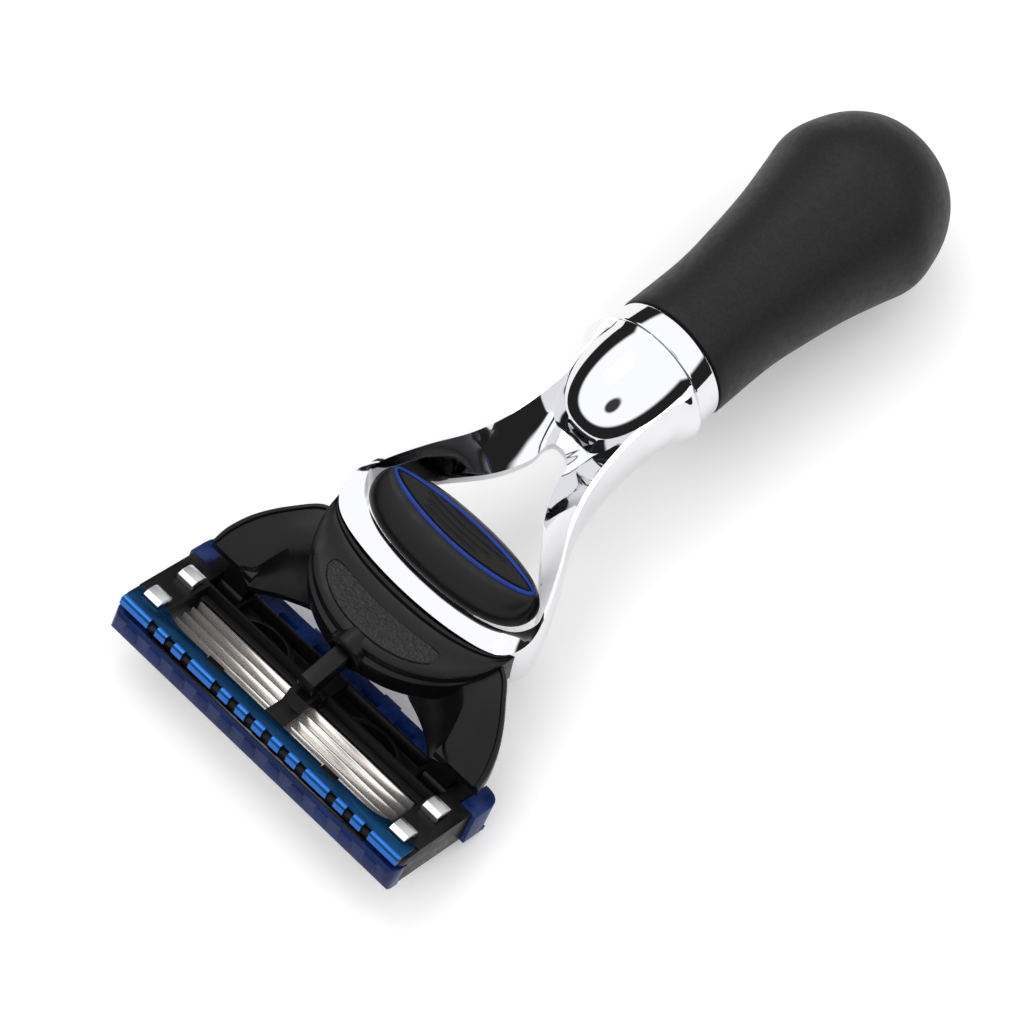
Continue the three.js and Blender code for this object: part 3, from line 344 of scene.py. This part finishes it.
def skin(name, rings, closed=False):
    """Faces between successive rings of equal length, with flat ends unless the rings close."""
    count = len(rings[0])
    points = [p for ring in rings for p in ring]
    faces = []
    spans = len(rings) if closed else len(rings) - 1
    for k in range(spans):
        a, b = k * count, ((k + 1) % len(rings)) * count
        for i in range(count):
            j = (i + 1) % count
            faces.append((a + i, a + j, b + j, b + i))
    if not closed:
        faces.append(tuple(range(count)))
        faces.append(tuple(range(len(points) - count, len(points))))
    return mesh_of(name, points, faces)


def join_meshes(name, meshes):
    """One mesh that holds all the given ones."""
    bm = bmesh.new()
    for mesh in meshes:
        bm.from_mesh(mesh)
    made = bpy.data.meshes.new(name)
    bm.to_mesh(made)
    bm.free()
    return made


# ---------- grip ----------
GRIP_NECK_R = 7.1
GRIP_BULB_R = 10.25
GRIP_BULB_Y = 27.0
GRIP_LENGTH = 37.4
COLLAR_R = 7.0
NECK_BACK = -3.1
SHELL_HOLLOW_R = 4.48
SHELL_HOLLOW_END = 30.58
STUD_ROOM_R = 3.08
COLLAR_EDGE = 0.28  # radius of the collar's rounded edges


def grip():
    """The soft shell, turned about the grip's axis, with the hollow for its core."""
    bulb = GRIP_BULB_R
    sweep = curve_through(
        [
            (GRIP_NECK_R, 0.45),
            (GRIP_NECK_R - 0.02, 8),
            (GRIP_NECK_R + 0.5, 13.2),
            (GRIP_NECK_R + 1.35, 18.9),
            (bulb - 0.75, 23.6),
            (bulb, GRIP_BULB_Y),
            (bulb - 0.5, GRIP_BULB_Y + 3),
            (bulb - 1.75, GRIP_BULB_Y + 6),
            (bulb - 3.9, GRIP_BULB_Y + 8.5),
            (bulb - 7.2, GRIP_LENGTH - 0.35),
            (0, GRIP_LENGTH),
        ],
        10,
    )
    edge = [(SHELL_HOLLOW_R, GAP), (GRIP_NECK_R - 0.35, GAP), (GRIP_NECK_R - 0.1, GAP + 0.1)]
    core_room = [(0, SHELL_HOLLOW_END), (SHELL_HOLLOW_R, SHELL_HOLLOW_END)]
    mesh = turned("grip", [*core_room, *edge, *((p.x, p.y) for p in sweep)])
    finish_piece("grip_soft_shell", mesh, HANDLE, "grip", "handle", ["grip_shell"])


def collar():
    """The ring between neck and grip, with rounded edges."""
    front, edge = NECK_BACK + GAP, COLLAR_EDGE
    arc = [(math.sin(a * math.pi / 12), math.cos(a * math.pi / 12)) for a in range(7)]
    start = [(COLLAR_R - edge + edge * s, front + edge - edge * c) for s, c in arc]
    end = [(COLLAR_R - edge + edge * c, -GAP - edge + edge * s) for s, c in arc]
    bore = [(STUD_ROOM_R, -GAP), (STUD_ROOM_R, front)]
    mesh = turned("collar", [(STUD_ROOM_R, front), *start, *end, *bore])
    finish_piece("collar_chrome_ring", mesh, HANDLE, "chrome", "handle", ["collar_ring"])


# ---------- neck frame ----------
HEAD_HALF_WIDTH = 12.6
HEAD_FRONT = -37.1
RIM_WIDTH = 0.5
FUNNEL = 4.2
WINDOW_WALL = 1.0
NECK_DEPTH = 6.9
NOSE_LENGTH = 11.0
NOSE_BLUNTNESS = 0.8  # 1 would be a plain ellipse
NOSE_FLOOR = -6.95  # height of its flat underside at the collar
NOSE_RISE = 2.35  # how far that rises towards its tip
DOCK_HALF_WIDTH = 5.2
DOCK_TOP = 0.6
DOCK_BOTTOM = -2.0
DOCK_TAIL = 9.2
LIP_TOP = 1.7
HEAD_BOTTOM = -3.9
LIP_STATIONS = 3  # the first stations belong to the lip in front of the button
W = HEAD_HALF_WIDTH
RIM_SAG = 0.35  # how hollow the inner walls are between rim and window
# From the middle of the lip round to the collar: outer rim, inner rim and window edge as x, y, then
# the rim's height where it has left the lip, and the belly of the outer wall.
NECK = [
    ((0, HEAD_FRONT), (0, HEAD_FRONT + 2.5), (0, HEAD_FRONT + 2.5), None, 0),
    ((6.4, HEAD_FRONT + 0.45), (5.4, HEAD_FRONT + 2.9), (5.4, HEAD_FRONT + 2.9), None, 0),
    (
        (W - 1.6, HEAD_FRONT + 1.8),
        (W - 2.8, HEAD_FRONT + 4.3),
        (W - 2.9, HEAD_FRONT + 4.3),
        None,
        0,
    ),
    ((W, HEAD_FRONT + 4.2), (W - 1.0, HEAD_FRONT + 6.1), (W - 1.6, HEAD_FRONT + 6.6), -2.3, 0.3),
    ((W - 0.8, -29.6), (W - 0.8 - RIM_WIDTH, -29.3), (W - 2.9, -28.2), -1.2, 0.5),
    ((9.7, -25.5), (9.7 - RIM_WIDTH, -25.3), (7.0, -25.2), 0, 0.5),
    ((7.3, -21.5), (7.3 - RIM_WIDTH, -21.3), (3.6, -21.2), 1.0, 0.5),
    ((5.8, -17), (5.8 - RIM_WIDTH, -16.9), (1.9, -18.0), 2.0, 0.5),
    ((5.2, -11.8), (5.2 - RIM_WIDTH, -11.8), (1.6, -16.4), 3.0, 0.7),
    ((5.3, -7), (5.3 - RIM_WIDTH, -7), (1.1, -16.0), 4.0, 0.9),
    ((5.2, NECK_BACK), (5.2 - RIM_WIDTH, NECK_BACK), (0.5, -15.9), 4.6, 1.7),
]


def lip_z(y, w):
    """Height in the handle's frame of a place at height w in the dock's frame."""
    slope = math.radians(DOCK_SLOPE)
    return DOCK_ORIGIN.z + (y - DOCK_ORIGIN.y) * math.tan(slope) + w / math.cos(slope)


def neck_section(outer, rim, window, top, belly, on_lip):
    """The wall's section at one station: up the outside, over the rim, down to the window."""
    outer_top = lip_z(outer[1], LIP_TOP) if top is None else top
    rim_top = lip_z(rim[1], LIP_TOP) if top is None else top
    window_top = rim_top - (0.4 if on_lip else FUNNEL)
    low = max(lip_z(outer[1], HEAD_BOTTOM), outer_top - NECK_DEPTH)
    window_low = low if on_lip else window_top - WINDOW_WALL
    foot = Vector((outer[0] + 0.6 * belly, outer[1], low))
    middle = Vector((outer[0] + belly, outer[1], (low + outer_top) / 2))
    crest = Vector((*outer, outer_top))
    inner = Vector((*rim, rim_top))
    sill = Vector((*window, window_top))
    under = Vector((*window, window_low))
    wall = []
    for k in range(9):
        t = k / 8
        low_side, high_side = foot * (1 - t) * (1 - 2 * t), crest * t * (2 * t - 1)
        wall.append(low_side + middle * 4 * t * (1 - t) + high_side)
    across = [crest.lerp(inner, t / 3) for t in (1, 2, 3)]
    sag = 0.0 if on_lip else RIM_SAG
    down = []
    for k in range(1, 9):
        t = k / 8
        point = inner.lerp(sill, t)
        point.z -= sag * 4 * t * (1 - t)
        down.append(point)
    return [*wall, *across, *down, under]


def nose():
    """The rounded block that fills the window's rear, flat underneath."""
    radius = COLLAR_R - 0.15
    profile = [(0, NECK_BACK), (radius + 0.05, NECK_BACK)]
    for k in range(41):
        angle = k / 40 * math.pi / 2
        along = NECK_BACK - 0.4 - NOSE_LENGTH * math.sin(angle)
        profile.append((radius * max(math.cos(angle), 0) ** NOSE_BLUNTNESS, along))
    mesh = turned("nose", profile)
    for vert in mesh.vertices:
        ease = min(max((-4 - vert.co.y) / 5, 0), 1)
        vert.co.z = max(vert.co.z, NOSE_FLOOR + NOSE_RISE * ease * ease * (3 - 2 * ease))
    return mesh


def neck():
    """The chromed frame: a ring of sections, hollowed for the docking head, and the nose."""
    sections = [neck_section(*station, k < LIP_STATIONS) for k, station in enumerate(NECK)]
    rails = []
    for rail in zip(*sections):
        mirrored = [Vector((-p.x, p.y, p.z)) for p in reversed(rail[1:])]
        rails.append(curve_through([*rail, *mirrored], 12, closed=True))
    ring = skin("neck_ring", list(zip(*rails)), closed=True)
    mesh = join_meshes("neck", [hollow(ring, dock_room()), nose()])
    finish_piece("neck_chrome_frame", mesh, HANDLE, "chrome", "handle", ["neck_frame"], bevel=0.14)


def dock_room():
    """The room in the lip that takes the docking head, open to the front and to the window."""
    half, low, high = DOCK_HALF_WIDTH + SLIDE_GAP, DOCK_BOTTOM - SLIDE_GAP, DOCK_TOP + SLIDE_GAP
    corners = [(-half, low), (half, low), (half, high), (-half, high)]
    mesh = skin("dock_room", [[Vector((x, y, z)) for x, z in corners] for y in (-3, DOCK_TAIL - 5)])
    mesh.transform(HANDLE.inverted() @ DOCK)
    return mesh


def hollow(mesh, room):
    """mesh with room cut out of it."""
    solid, tool = (bpy.data.objects.new(m.name, m) for m in (mesh, room))
    for made in (solid, tool):
        bpy.context.collection.objects.link(made)
    cut = solid.modifiers.new("room", "BOOLEAN")
    cut.object = tool
    cut.solver = "EXACT"
    graph = bpy.context.evaluated_depsgraph_get()
    shaped = bpy.data.meshes.new_from_object(solid.evaluated_get(graph))
    for made in (solid, tool):
        bpy.data.objects.remove(made)
    return shaped


# ---------- release button ----------
BUTTON_HALF_LENGTH = 10.8
BUTTON_FRONT = 1.3
BUTTON_REAR = 9.6
BUTTON_BASE = LIP_TOP + 0.2
BUTTON_TOP = BUTTON_BASE + 2.9
RING_FRONT = BUTTON_FRONT + 2.4


def lens(inset, front, rear, count=160):
    """The button's outline, blunt at both ends, as points of x and y."""
    x = BUTTON_HALF_LENGTH - inset
    near, far = front + inset, rear - inset
    middle = front + 0.55 * (rear - front)
    corners = [
        ((-x, middle), (-x, near + 1.2), (-x * 0.55, near), (0, near)),
        ((0, near), (x * 0.55, near), (x, near + 1.2), (x, middle)),
        ((x, middle), (x, far - 0.9), (x * 0.55, far), (0, far)),
        ((0, far), (-x * 0.55, far), (-x, far - 0.9), (-x, middle)),
    ]
    outline = []
    each = count // 4
    for a, b, c, d in corners:
        a, b, c, d = Vector(a), Vector(b), Vector(c), Vector(d)
        for k in range(each):
            t = k / each
            u = 1 - t
            outline.append(a * u ** 3 + b * 3 * u * u * t + c * 3 * u * t * t + d * t ** 3)
    return outline


def lens_solid(name, layers, steps=5):
    """A solid through layers of (inset, front, rear, z), rounded between them."""
    rings = []
    for inset, front, rear, z in curve_through(layers, steps):
        rings.append([Vector((p.x, p.y, z)) for p in lens(inset, front, rear)])
    return skin(name, rings)


def button():
    """The smooth skirt, the blue band round the pad and the pad itself."""
    base, top = BUTTON_BASE, BUTTON_TOP
    front, rear, ring = BUTTON_FRONT, BUTTON_REAR, RING_FRONT
    skirt = lens_solid(
        "skirt",
        [
            (0.25, front, rear, base),
            (0.0, front, rear, base + 0.35),
            (0.12, front + 0.2, rear, base + 1.2),
            (0.45, front + 1.0, rear - 0.15, top - 0.95),
            (0.85, front + 1.9, rear - 0.35, top - 0.5),
            (1.1, front + 2.35, rear - 0.5, top - 0.42),
        ],
    )
    finish_piece("button_smooth_skirt", skirt, DOCK, "black", "button", ["button_skirt"])
    band = lens_solid(
        "band",
        [
            (1.12, ring, rear, base + 0.7),
            (1.1, ring, rear, top - 0.5),
            (1.16, ring, rear, top - 0.3),
            (1.3, ring, rear, top - 0.2),
            (1.5, ring, rear, top - 0.22),
            (1.54, ring, rear, top - 0.5),
            (1.54, ring, rear, top - 1.4),
        ],
        3,
    )
    finish_piece("button_blue_band", band, DOCK, "ring", "button", ["button_ring"])
    finish_piece("button_grip_pad", pad_mesh(), DOCK, "pad", "button", ["button_pad"])


PAD_RINGS = 70
GROOVE_PITCH = 0.62
GROOVES = 5
GROOVE_DEPTH = 0.16


def pad_height(x, y, edge):
    """Height of the pad: rounded at its edge, slightly dished, with long grooves along it."""
    height = BUTTON_TOP + 0.05 - 0.55 * max(0, 1 - edge / 0.09) ** 2
    middle = RING_FRONT + 3.35 + 0.012 * x * x
    height -= 0.18 * math.exp(-((y - middle) / 1.6) ** 2)
    across = (y - middle) / GROOVE_PITCH
    number = round(across)
    if abs(number) <= GROOVES // 2:
        reach = 5.6 - 0.9 * abs(number)
        side = max(0.0, 1 - abs(across - number) / 0.34)
        end = min(max((reach - abs(x - 0.5 * number)) / 0.5, 0), 1)
        height -= GROOVE_DEPTH * min(1, side * 1.6) * end
    return height


def pad_mesh():
    """The pad's top as rings that close in on its middle, each point at the pad's height there."""
    outline = lens(1.5, RING_FRONT, BUTTON_REAR, 320)
    centre = Vector((0, (RING_FRONT + BUTTON_REAR) / 2 + 0.1))
    rings = [[Vector((p.x, p.y, BUTTON_TOP - 1.2)) for p in outline]]
    for k in range(PAD_RINGS):
        shrink = 1 - k / PAD_RINGS
        ring = []
        for p in outline:
            at = centre + (p - centre) * shrink
            ring.append(Vector((at.x, at.y, pad_height(at.x, at.y, 1 - shrink))))
        rings.append(ring)
    return skin("pad", rings)


# ---------- yoke ----------
YOKE_HALF_WIDTH = 12.3
YOKE_DEPTH = 11.5
YOKE_CENTRE_V = 2.4
YOKE_TOP = 1.45
YOKE_BOTTOM = -2.7
RIDGE = 0.35  # height of the ridge that hugs the neck's lip
LIP_OUTLINE = [
    (-W, 3.0), (1.6 - W, 0.6), (-6.4, -0.85), (0, -1.3), (6.4, -0.85), (W - 1.6, 0.6), (W, 3.0)
]


def lip_at(x):
    """v of the neck's front outline, less the gap, at a place across."""
    path = curve_through([Vector((*p, 0)) for p in LIP_OUTLINE], 10)
    for a, b in zip(path, path[1:]):
        if a.x <= x <= b.x:
            return a.lerp(b, (x - a.x) / (b.x - a.x)).y
    return path[-1].y


def crescent_point(angle, across, height):
    """A point of the crescent: angle along it, across from 0 at its front to 1 at the lip."""
    x = YOKE_HALF_WIDTH * math.cos(angle)
    front = YOKE_CENTRE_V - YOKE_DEPTH * math.sin(angle)
    return Vector((x, front + (lip_at(x) - front) * across, height))


# The crescent's section as places across it and heights, from the front's foot over the top.
CRESCENT_SECTION = [
    (0.06, YOKE_BOTTOM),
    (0.0, YOKE_BOTTOM + 0.3),
    (0.0, YOKE_TOP - 1.5),
    (0.012, YOKE_TOP - 1.1),
    (0.06, YOKE_TOP - 1.0),
    (0.085, YOKE_TOP - 0.95),
    (0.1, YOKE_TOP - 0.5),
    (0.12, YOKE_TOP - 0.2),
    (0.17, YOKE_TOP - 0.05),
    (0.3, YOKE_TOP + 0.05),
    (0.5, YOKE_TOP + 0.1),
    (0.7, YOKE_TOP + 0.06),
    (0.84, YOKE_TOP),
    (0.9, YOKE_TOP + 0.05),
    (0.93, YOKE_TOP + RIDGE),
    (0.98, YOKE_TOP + RIDGE),
    (1.0, YOKE_TOP + RIDGE - 0.15),
    (1.0, YOKE_BOTTOM),
]
CRESCENT_STEPS = 96


def crescent():
    """The body that hugs the neck's lip, swept round from one side to the other."""
    rings = []
    start = math.radians(4)
    for k in range(CRESCENT_STEPS + 1):
        angle = start + (math.pi - 2 * start) * k / CRESCENT_STEPS
        rings.append([crescent_point(angle, across, height) for across, height in CRESCENT_SECTION])
    return skin("crescent", rings)


BOSS_R = 2.3
BOSS_REACH = 9.4
BOSS_ROUND = 0.6
PLUNGER_W = -0.7


def boss():
    """The hood round the plunger, round on top with a softened front edge."""
    profile = [(0, -BOSS_REACH + 0.5), (1.5, -BOSS_REACH + 0.5), (1.6, -BOSS_REACH)]
    for k in range(9):
        angle = k / 8 * math.pi / 2
        radius = BOSS_R - BOSS_ROUND * (1 - math.sin(angle))
        profile.append((radius, -BOSS_REACH + BOSS_ROUND * (1 - math.cos(angle))))
    profile += [(BOSS_R, -6.4), (0, -6.4)]
    mesh = turned("boss", profile, 96)
    mesh.transform(Matrix.Translation((0, 0, PLUNGER_W)))
    return mesh


# One arm's stations in the handle's frame: outer edge, the lobe's inner edge, the web's edge.
ARM = [
    ((9.0, -35.6, -4.2), (8.0, -38.4, -4.6), (4.8, -41.2, -8.2)),
    ((12.4, -35.5, -4.1), (10.3, -39.3, -4.9), (6.2, -42.1, -9.2)),
    ((15.0, -37.9, -4.8), (11.9, -40.7, -5.5), (8.4, -42.8, -9.7)),
    ((17.2, -40.6, -6.0), (12.7, -42.5, -6.3), (10.4, -43.8, -9.7)),
    ((18.4, -43.1, -7.2), (13.3, -44.2, -7.1), (11.8, -44.9, -9.4)),
    ((18.7, -45.0, -8.2), (14.6, -45.2, -7.8), (12.8, -45.6, -9.2)),
]
ARM_THICKNESS = 1.5
WEB_THICKNESS = 0.9
POCKET_X = 14.4
ARM_WIDTH = 3.0
JOURNAL_R = 1.4


def arm_section(outer, lobe, web):
    """Over the raised outer edge, across the lobe, down the web and back underneath."""
    outer, lobe, web = Vector(outer), Vector(lobe), Vector(web)
    down = Vector((0, 0, -1))
    ridge_in = outer.lerp(lobe, 0.13)
    points = [outer + down * 0.25, outer.lerp(lobe, 0.03), outer.lerp(lobe, 0.1)]
    points += [ridge_in + down * 0.3, outer.lerp(lobe, 0.5) + down * 0.34]
    points += [outer.lerp(lobe, 0.93) + down * 0.3, lobe + down * 0.42]
    for k in range(1, 7):
        t = k / 6
        point = lobe.lerp(web, t) + down * 0.42 * (1 - t)
        point.z -= 0.75 * math.sin(math.pi * t) * (1 - t)
        points.append(point)
    under = [web + down * WEB_THICKNESS, lobe + down * ARM_THICKNESS, outer + down * ARM_THICKNESS]
    return points + under


def arm(side):
    """One arm, from the crescent's side round and down to the pivot."""
    rails = [curve_through(rail, 10) for rail in zip(*(arm_section(*station) for station in ARM))]
    return skin("arm", [[Vector((side * p.x, p.y, p.z)) for p in ring] for ring in zip(*rails)])


def prism(name, points, x0, x1):
    """A bar along X from its section's points of y and z."""
    return skin(name, [[Vector((x, y, z)) for y, z in points] for x in (x0, x1)])


def journal_leg(side):
    """The leg under an arm's end and the pin that the cartridge turns on."""
    pivot = CARTRIDGE_ORIGIN + turn_x(-CARTRIDGE_TILT) @ PIVOT_IN_CARTRIDGE
    x0, x1 = side * (POCKET_X - ARM_WIDTH / 2), side * (POCKET_X + ARM_WIDTH / 2)
    section = [
        (pivot.y - JOURNAL_R * 0.7, pivot.z),
        (pivot.y + JOURNAL_R * 0.9, pivot.z),
        (-43.6, -8.0),
        (-45.1, -8.4),
    ]
    pin = turned("journal", [(0, x0), (JOURNAL_R, x0), (JOURNAL_R, x1), (0, x1)], 48)
    quarter = Matrix.Rotation(math.radians(-90), 4, "Z")
    pin.transform(Matrix.Translation((0, pivot.y, pivot.z)) @ quarter)
    return [prism("leg", section, x0, x1), pin]


def yoke():
    """The yoke as one piece, and the grained panel let into its top."""
    to_handle = HANDLE.inverted() @ DOCK
    front = [crescent(), boss()]
    for mesh in front:
        mesh.transform(to_handle)
    meshes = [*front, arm(1), arm(-1), *journal_leg(1), *journal_leg(-1)]
    mesh = join_meshes("yoke", meshes)
    finish_piece("yoke_black_body", mesh, HANDLE, "black", "yoke", ["cartridge_yoke"], bevel=0.1)
    grain = finish_piece("yoke_grain_panel", grain_panel(), DOCK, "leather", "yoke", [])


PANEL_HALF_ANGLE = math.radians(38)
PANEL_ACROSS = (0.24, 0.70)
PANEL_STEPS = 28


def panel_outline(shrink, count=120):
    """A rounded band in the crescent's own directions, as angle and place across."""
    middle = (PANEL_ACROSS[0] + PANEL_ACROSS[1]) / 2
    half = (PANEL_ACROSS[1] - PANEL_ACROSS[0]) / 2
    for k in range(count):
        turn = 2 * math.pi * k / count
        c, s = math.cos(turn), math.sin(turn)
        along = math.copysign(abs(c) ** 0.55, c) * PANEL_HALF_ANGLE * shrink
        across = math.copysign(abs(s) ** 0.7, s) * half * shrink
        yield math.pi / 2 + along, middle + across


def grain_panel():
    """A low cushion in the crescent's top, rounded at its edge."""
    rings = []
    for k in range(PANEL_STEPS):
        shrink = 1 - k / PANEL_STEPS
        rise = 0.17 - 0.22 * max(0, 1 - (1 - shrink) / 0.08) ** 2
        ring = []
        for angle, across in panel_outline(shrink):
            dome = YOKE_TOP + 0.1 - 0.45 * (across - 0.5) ** 2
            ring.append(crescent_point(angle, across, dome + rise))
        rings.append(ring)
    low = [Vector((p.x, p.y, YOKE_TOP - 0.3)) for p in rings[0]]
    return skin("panel", [low, *rings])


# ---------- trimmer cover's folded lip ----------
CAP_EDGE = -5.0
HALF_LENGTH = 19.6
NOTCH_PITCH = 2.37
NOTCH_BREAK = 1.85
NOTCH_HALF = 0.5
NOTCHES_PER_SIDE = 6
LIP_FOLD = 0.4
LIP_DROP = 1.0
LIP_SKIN = 0.035  # how far the rounded lip, a skin that carries the painted highlight, stands off the plate that it covers


def lip_section():
    """The rounded fold from the plate's flat down to the lip's edge, as u and n."""
    radius = LIP_FOLD + LIP_SKIN
    section = [(CAP_EDGE + 0.16, -0.02), (CAP_EDGE + 0.12, LIP_SKIN)]
    for k in range(9):
        angle = k / 8 * math.pi / 2
        drop = radius * (1 - math.cos(angle))
        section.append((CAP_EDGE - radius * math.sin(angle), LIP_SKIN - drop))
    outside, inside, foot = CAP_EDGE - radius, CAP_EDGE - radius + 0.12, -LIP_DROP - 0.02
    return section + [(outside, foot), (inside, foot), (inside, -0.5)]


def lip():
    """One stretch of lip between each pair of notches, laid over the plate's real fold in a
    brighter blue that is painted highlight.
    """
    end = HALF_LENGTH - 0.3
    notches = []
    for i in range(NOTCHES_PER_SIDE):
        at = (i + 0.5) * NOTCH_PITCH + (NOTCH_BREAK if i > 2 else 0)
        notches += [at, -at]
    edges = [-end]
    for at in sorted(notches):
        edges += [at - NOTCH_HALF, at + NOTCH_HALF]
    edges.append(end)
    stretches = [prism("lip", lip_section(), a, b) for a, b in zip(edges[::2], edges[1::2])]
    mesh = join_meshes("lip", stretches)
    made = finish_piece("trimmer_folded_lip", mesh, CARTRIDGE, "lip", "cartridge", [], bevel=0.05)


# ---------- pieces whose CAD shape is shown ----------
CAD_LOOKS = {
    "grip_seal": ("grip", 0),
    "grip_core": ("core", 0.1),
    "tang_stud": ("core", 0),
    "dock_block": ("black", 0.1),
    "plunger": ("black", 0.1),
    "plunger_spring": ("spring", 0),
    "button_spring_left": ("spring", 0),
    "button_spring_right": ("spring", 0),
    "housing": ("housing", 0.07),
    "trimmer_cover": ("teal", 0.05),
    "trimmer_blade": ("trimmer", 0),
    "cap": ("cap", 0.12),
    "lubricating_strip": ("strip", 0.05),
    "guard": ("guard", 0.1),
    "guard_fins": ("fins", 0.05),
    "clip_left": ("clip", 0.06),
    "clip_right": ("clip", 0.06),
}
BLADE_COUNT = 5
for number in range(1, BLADE_COUNT + 1):
    CAD_LOOKS[f"blade_support_{number}"] = ("blade", 0)
    CAD_LOOKS[f"blade_edge_{number}"] = ("blade", 0)
WELD_DISTANCE = 0.002


def dress_cad_nodes():
    """Gives each CAD piece that is still shown its material, rounded edges and smooth shading."""
    for name, (look, bevel) in CAD_LOOKS.items():
        node = frame["nodes"][name]
        if node.hide_render:
            continue
        node.data.materials.clear()
        node.data.materials.append(MATERIALS[look])
        weld = node.modifiers.new("weld", "WELD")
        weld.merge_threshold = WELD_DISTANCE * MM
        soften(node, bevel)


# ---------- studio ----------
CAMERA_AZIMUTH = 34.58  # degrees, seen from the grip's own axis
CAMERA_ELEVATION = 59.35
CAMERA_ROLL = 11.71
CAMERA_DISTANCE = 430.0
CAMERA_AIM = Vector((1.855, -24.51, 0))
CAMERA_LENS = 154.0


def camera():
    """The camera, placed in the handle's frame and turned about its line of sight."""
    a, e, r = (math.radians(d) for d in (CAMERA_AZIMUTH, CAMERA_ELEVATION, CAMERA_ROLL))
    back = Vector((math.sin(a) * math.cos(e), -math.cos(a) * math.cos(e), math.sin(e)))
    level = Vector((math.cos(a), math.sin(a), 0))
    right = level * math.cos(r) + back.cross(level) * math.sin(r)
    up = back.cross(right)
    turn = Matrix((right, up, back)).transposed().to_4x4()
    place = Matrix.Translation(CAMERA_AIM + back * CAMERA_DISTANCE) @ turn
    made = bpy.data.objects.new("camera", bpy.data.cameras.new("camera"))
    world = HANDLE @ place
    made.matrix_world = Matrix.LocRotScale(world.to_translation(), world.to_quaternion(), None)
    made.data.lens = CAMERA_LENS
    made.data.sensor_width = 36
    made.data.clip_start = 0.01
    bpy.context.collection.objects.link(made)
    bpy.context.scene.camera = made


FLOOR_SIZE = 6.0
FLOOR_DROP = 0.00005
PAPER_GLOW = 0.2  # light from under the paper, as a lit table gives


def floor():
    """The white paper, a hair below the razor."""
    mesh = bpy.data.meshes.new("floor")
    half = FLOOR_SIZE / 2
    corners = [(-half, -half), (half, -half), (half, half), (-half, half)]
    mesh.from_pydata([(x, y, -FLOOR_DROP) for x, y in corners], [], [(0, 1, 2, 3)])
    made = bpy.data.objects.new("studio_floor", mesh)
    bpy.context.collection.objects.link(made)
    paper = shader("studio_paper", (0.92, 0.915, 0.92), 0.9, specular=0.1)
    glow = paper.node_tree.nodes["Principled BSDF"]
    glow.inputs["Emission Color"].default_value = (1, 0.995, 1, 1)
    glow.inputs["Emission Strength"].default_value = PAPER_GLOW
    bump(paper, noise(paper, 1.5, 3.0), 0.01)
    mesh.materials.append(paper)


KEY_PLACE = (-0.35, 0.1, 0.8)
KEY_SIZE = (0.35, 0.35)
KEY_WATTS = 0.8


def key_box():
    """A soft box that faces the razor."""
    data = bpy.data.lights.new("key_box", "AREA")
    data.shape = "RECTANGLE"
    data.size, data.size_y = KEY_SIZE
    data.energy = KEY_WATTS
    made = bpy.data.objects.new("key_box", data)
    made.location = KEY_PLACE
    made.rotation_euler = (-Vector(KEY_PLACE)).to_track_quat("-Z", "Y").to_euler()
    bpy.context.collection.objects.link(made)


TENT_GLOW = 1.3
TENT_EDGE = (0.40, 0.50)  # heights on the sky where the dark band ends and the tent begins
BAND_GLOW = 0.02
HIDE_RADIUS = math.radians(10)  # the dark patch where the camera stands
HIDE_EDGE = (0.8, 1.3)  # where its soft edge starts and ends, as shares of its radius
HIDE_GLOW = 0.04


def tent():
    """A white light tent with a dark band low down, and a dark patch where a camera would stand."""
    world = bpy.data.worlds.new("studio_tent")
    world.use_nodes = True
    nodes, links = world.node_tree.nodes, world.node_tree.links
    where = nodes.new("ShaderNodeTexCoord")
    split = nodes.new("ShaderNodeSeparateXYZ")
    links.new(where.outputs["Generated"], split.inputs["Vector"])
    height = nodes.new("ShaderNodeMapRange")
    height.interpolation_type = "SMOOTHSTEP"
    height.inputs["From Min"].default_value, height.inputs["From Max"].default_value = TENT_EDGE
    height.inputs["To Min"].default_value = BAND_GLOW
    height.inputs["To Max"].default_value = TENT_GLOW
    links.new(split.outputs["Z"], height.inputs["Value"])
    stand = nodes.new("ShaderNodeVectorMath")
    stand.operation = "DOT_PRODUCT"
    direction = bpy.context.scene.camera.matrix_world.translation.normalized()
    stand.inputs[1].default_value = direction
    links.new(where.outputs["Generated"], stand.inputs[0])
    patch = nodes.new("ShaderNodeMapRange")
    patch.interpolation_type = "SMOOTHSTEP"
    patch.inputs["From Min"].default_value = math.cos(HIDE_RADIUS * HIDE_EDGE[1])
    patch.inputs["From Max"].default_value = math.cos(HIDE_RADIUS * HIDE_EDGE[0])
    patch.inputs["To Min"].default_value = 1
    patch.inputs["To Max"].default_value = HIDE_GLOW
    links.new(stand.outputs["Value"], patch.inputs["Value"])
    glow = nodes.new("ShaderNodeMath")
    glow.operation = "MULTIPLY"
    links.new(height.outputs["Result"], glow.inputs[0])
    links.new(patch.outputs["Result"], glow.inputs[1])
    links.new(glow.outputs["Value"], nodes["Background"].inputs["Strength"])
    nodes["Background"].inputs["Color"].default_value = (1, 1, 1, 1)
    bpy.context.scene.world = world


def studio():
    floor()
    tent()
    key_box()
    bpy.context.scene.view_settings.view_transform = "Standard"


camera()
grip()
collar()
neck()
button()
yoke()
lip()
dress_cad_nodes()
studio()
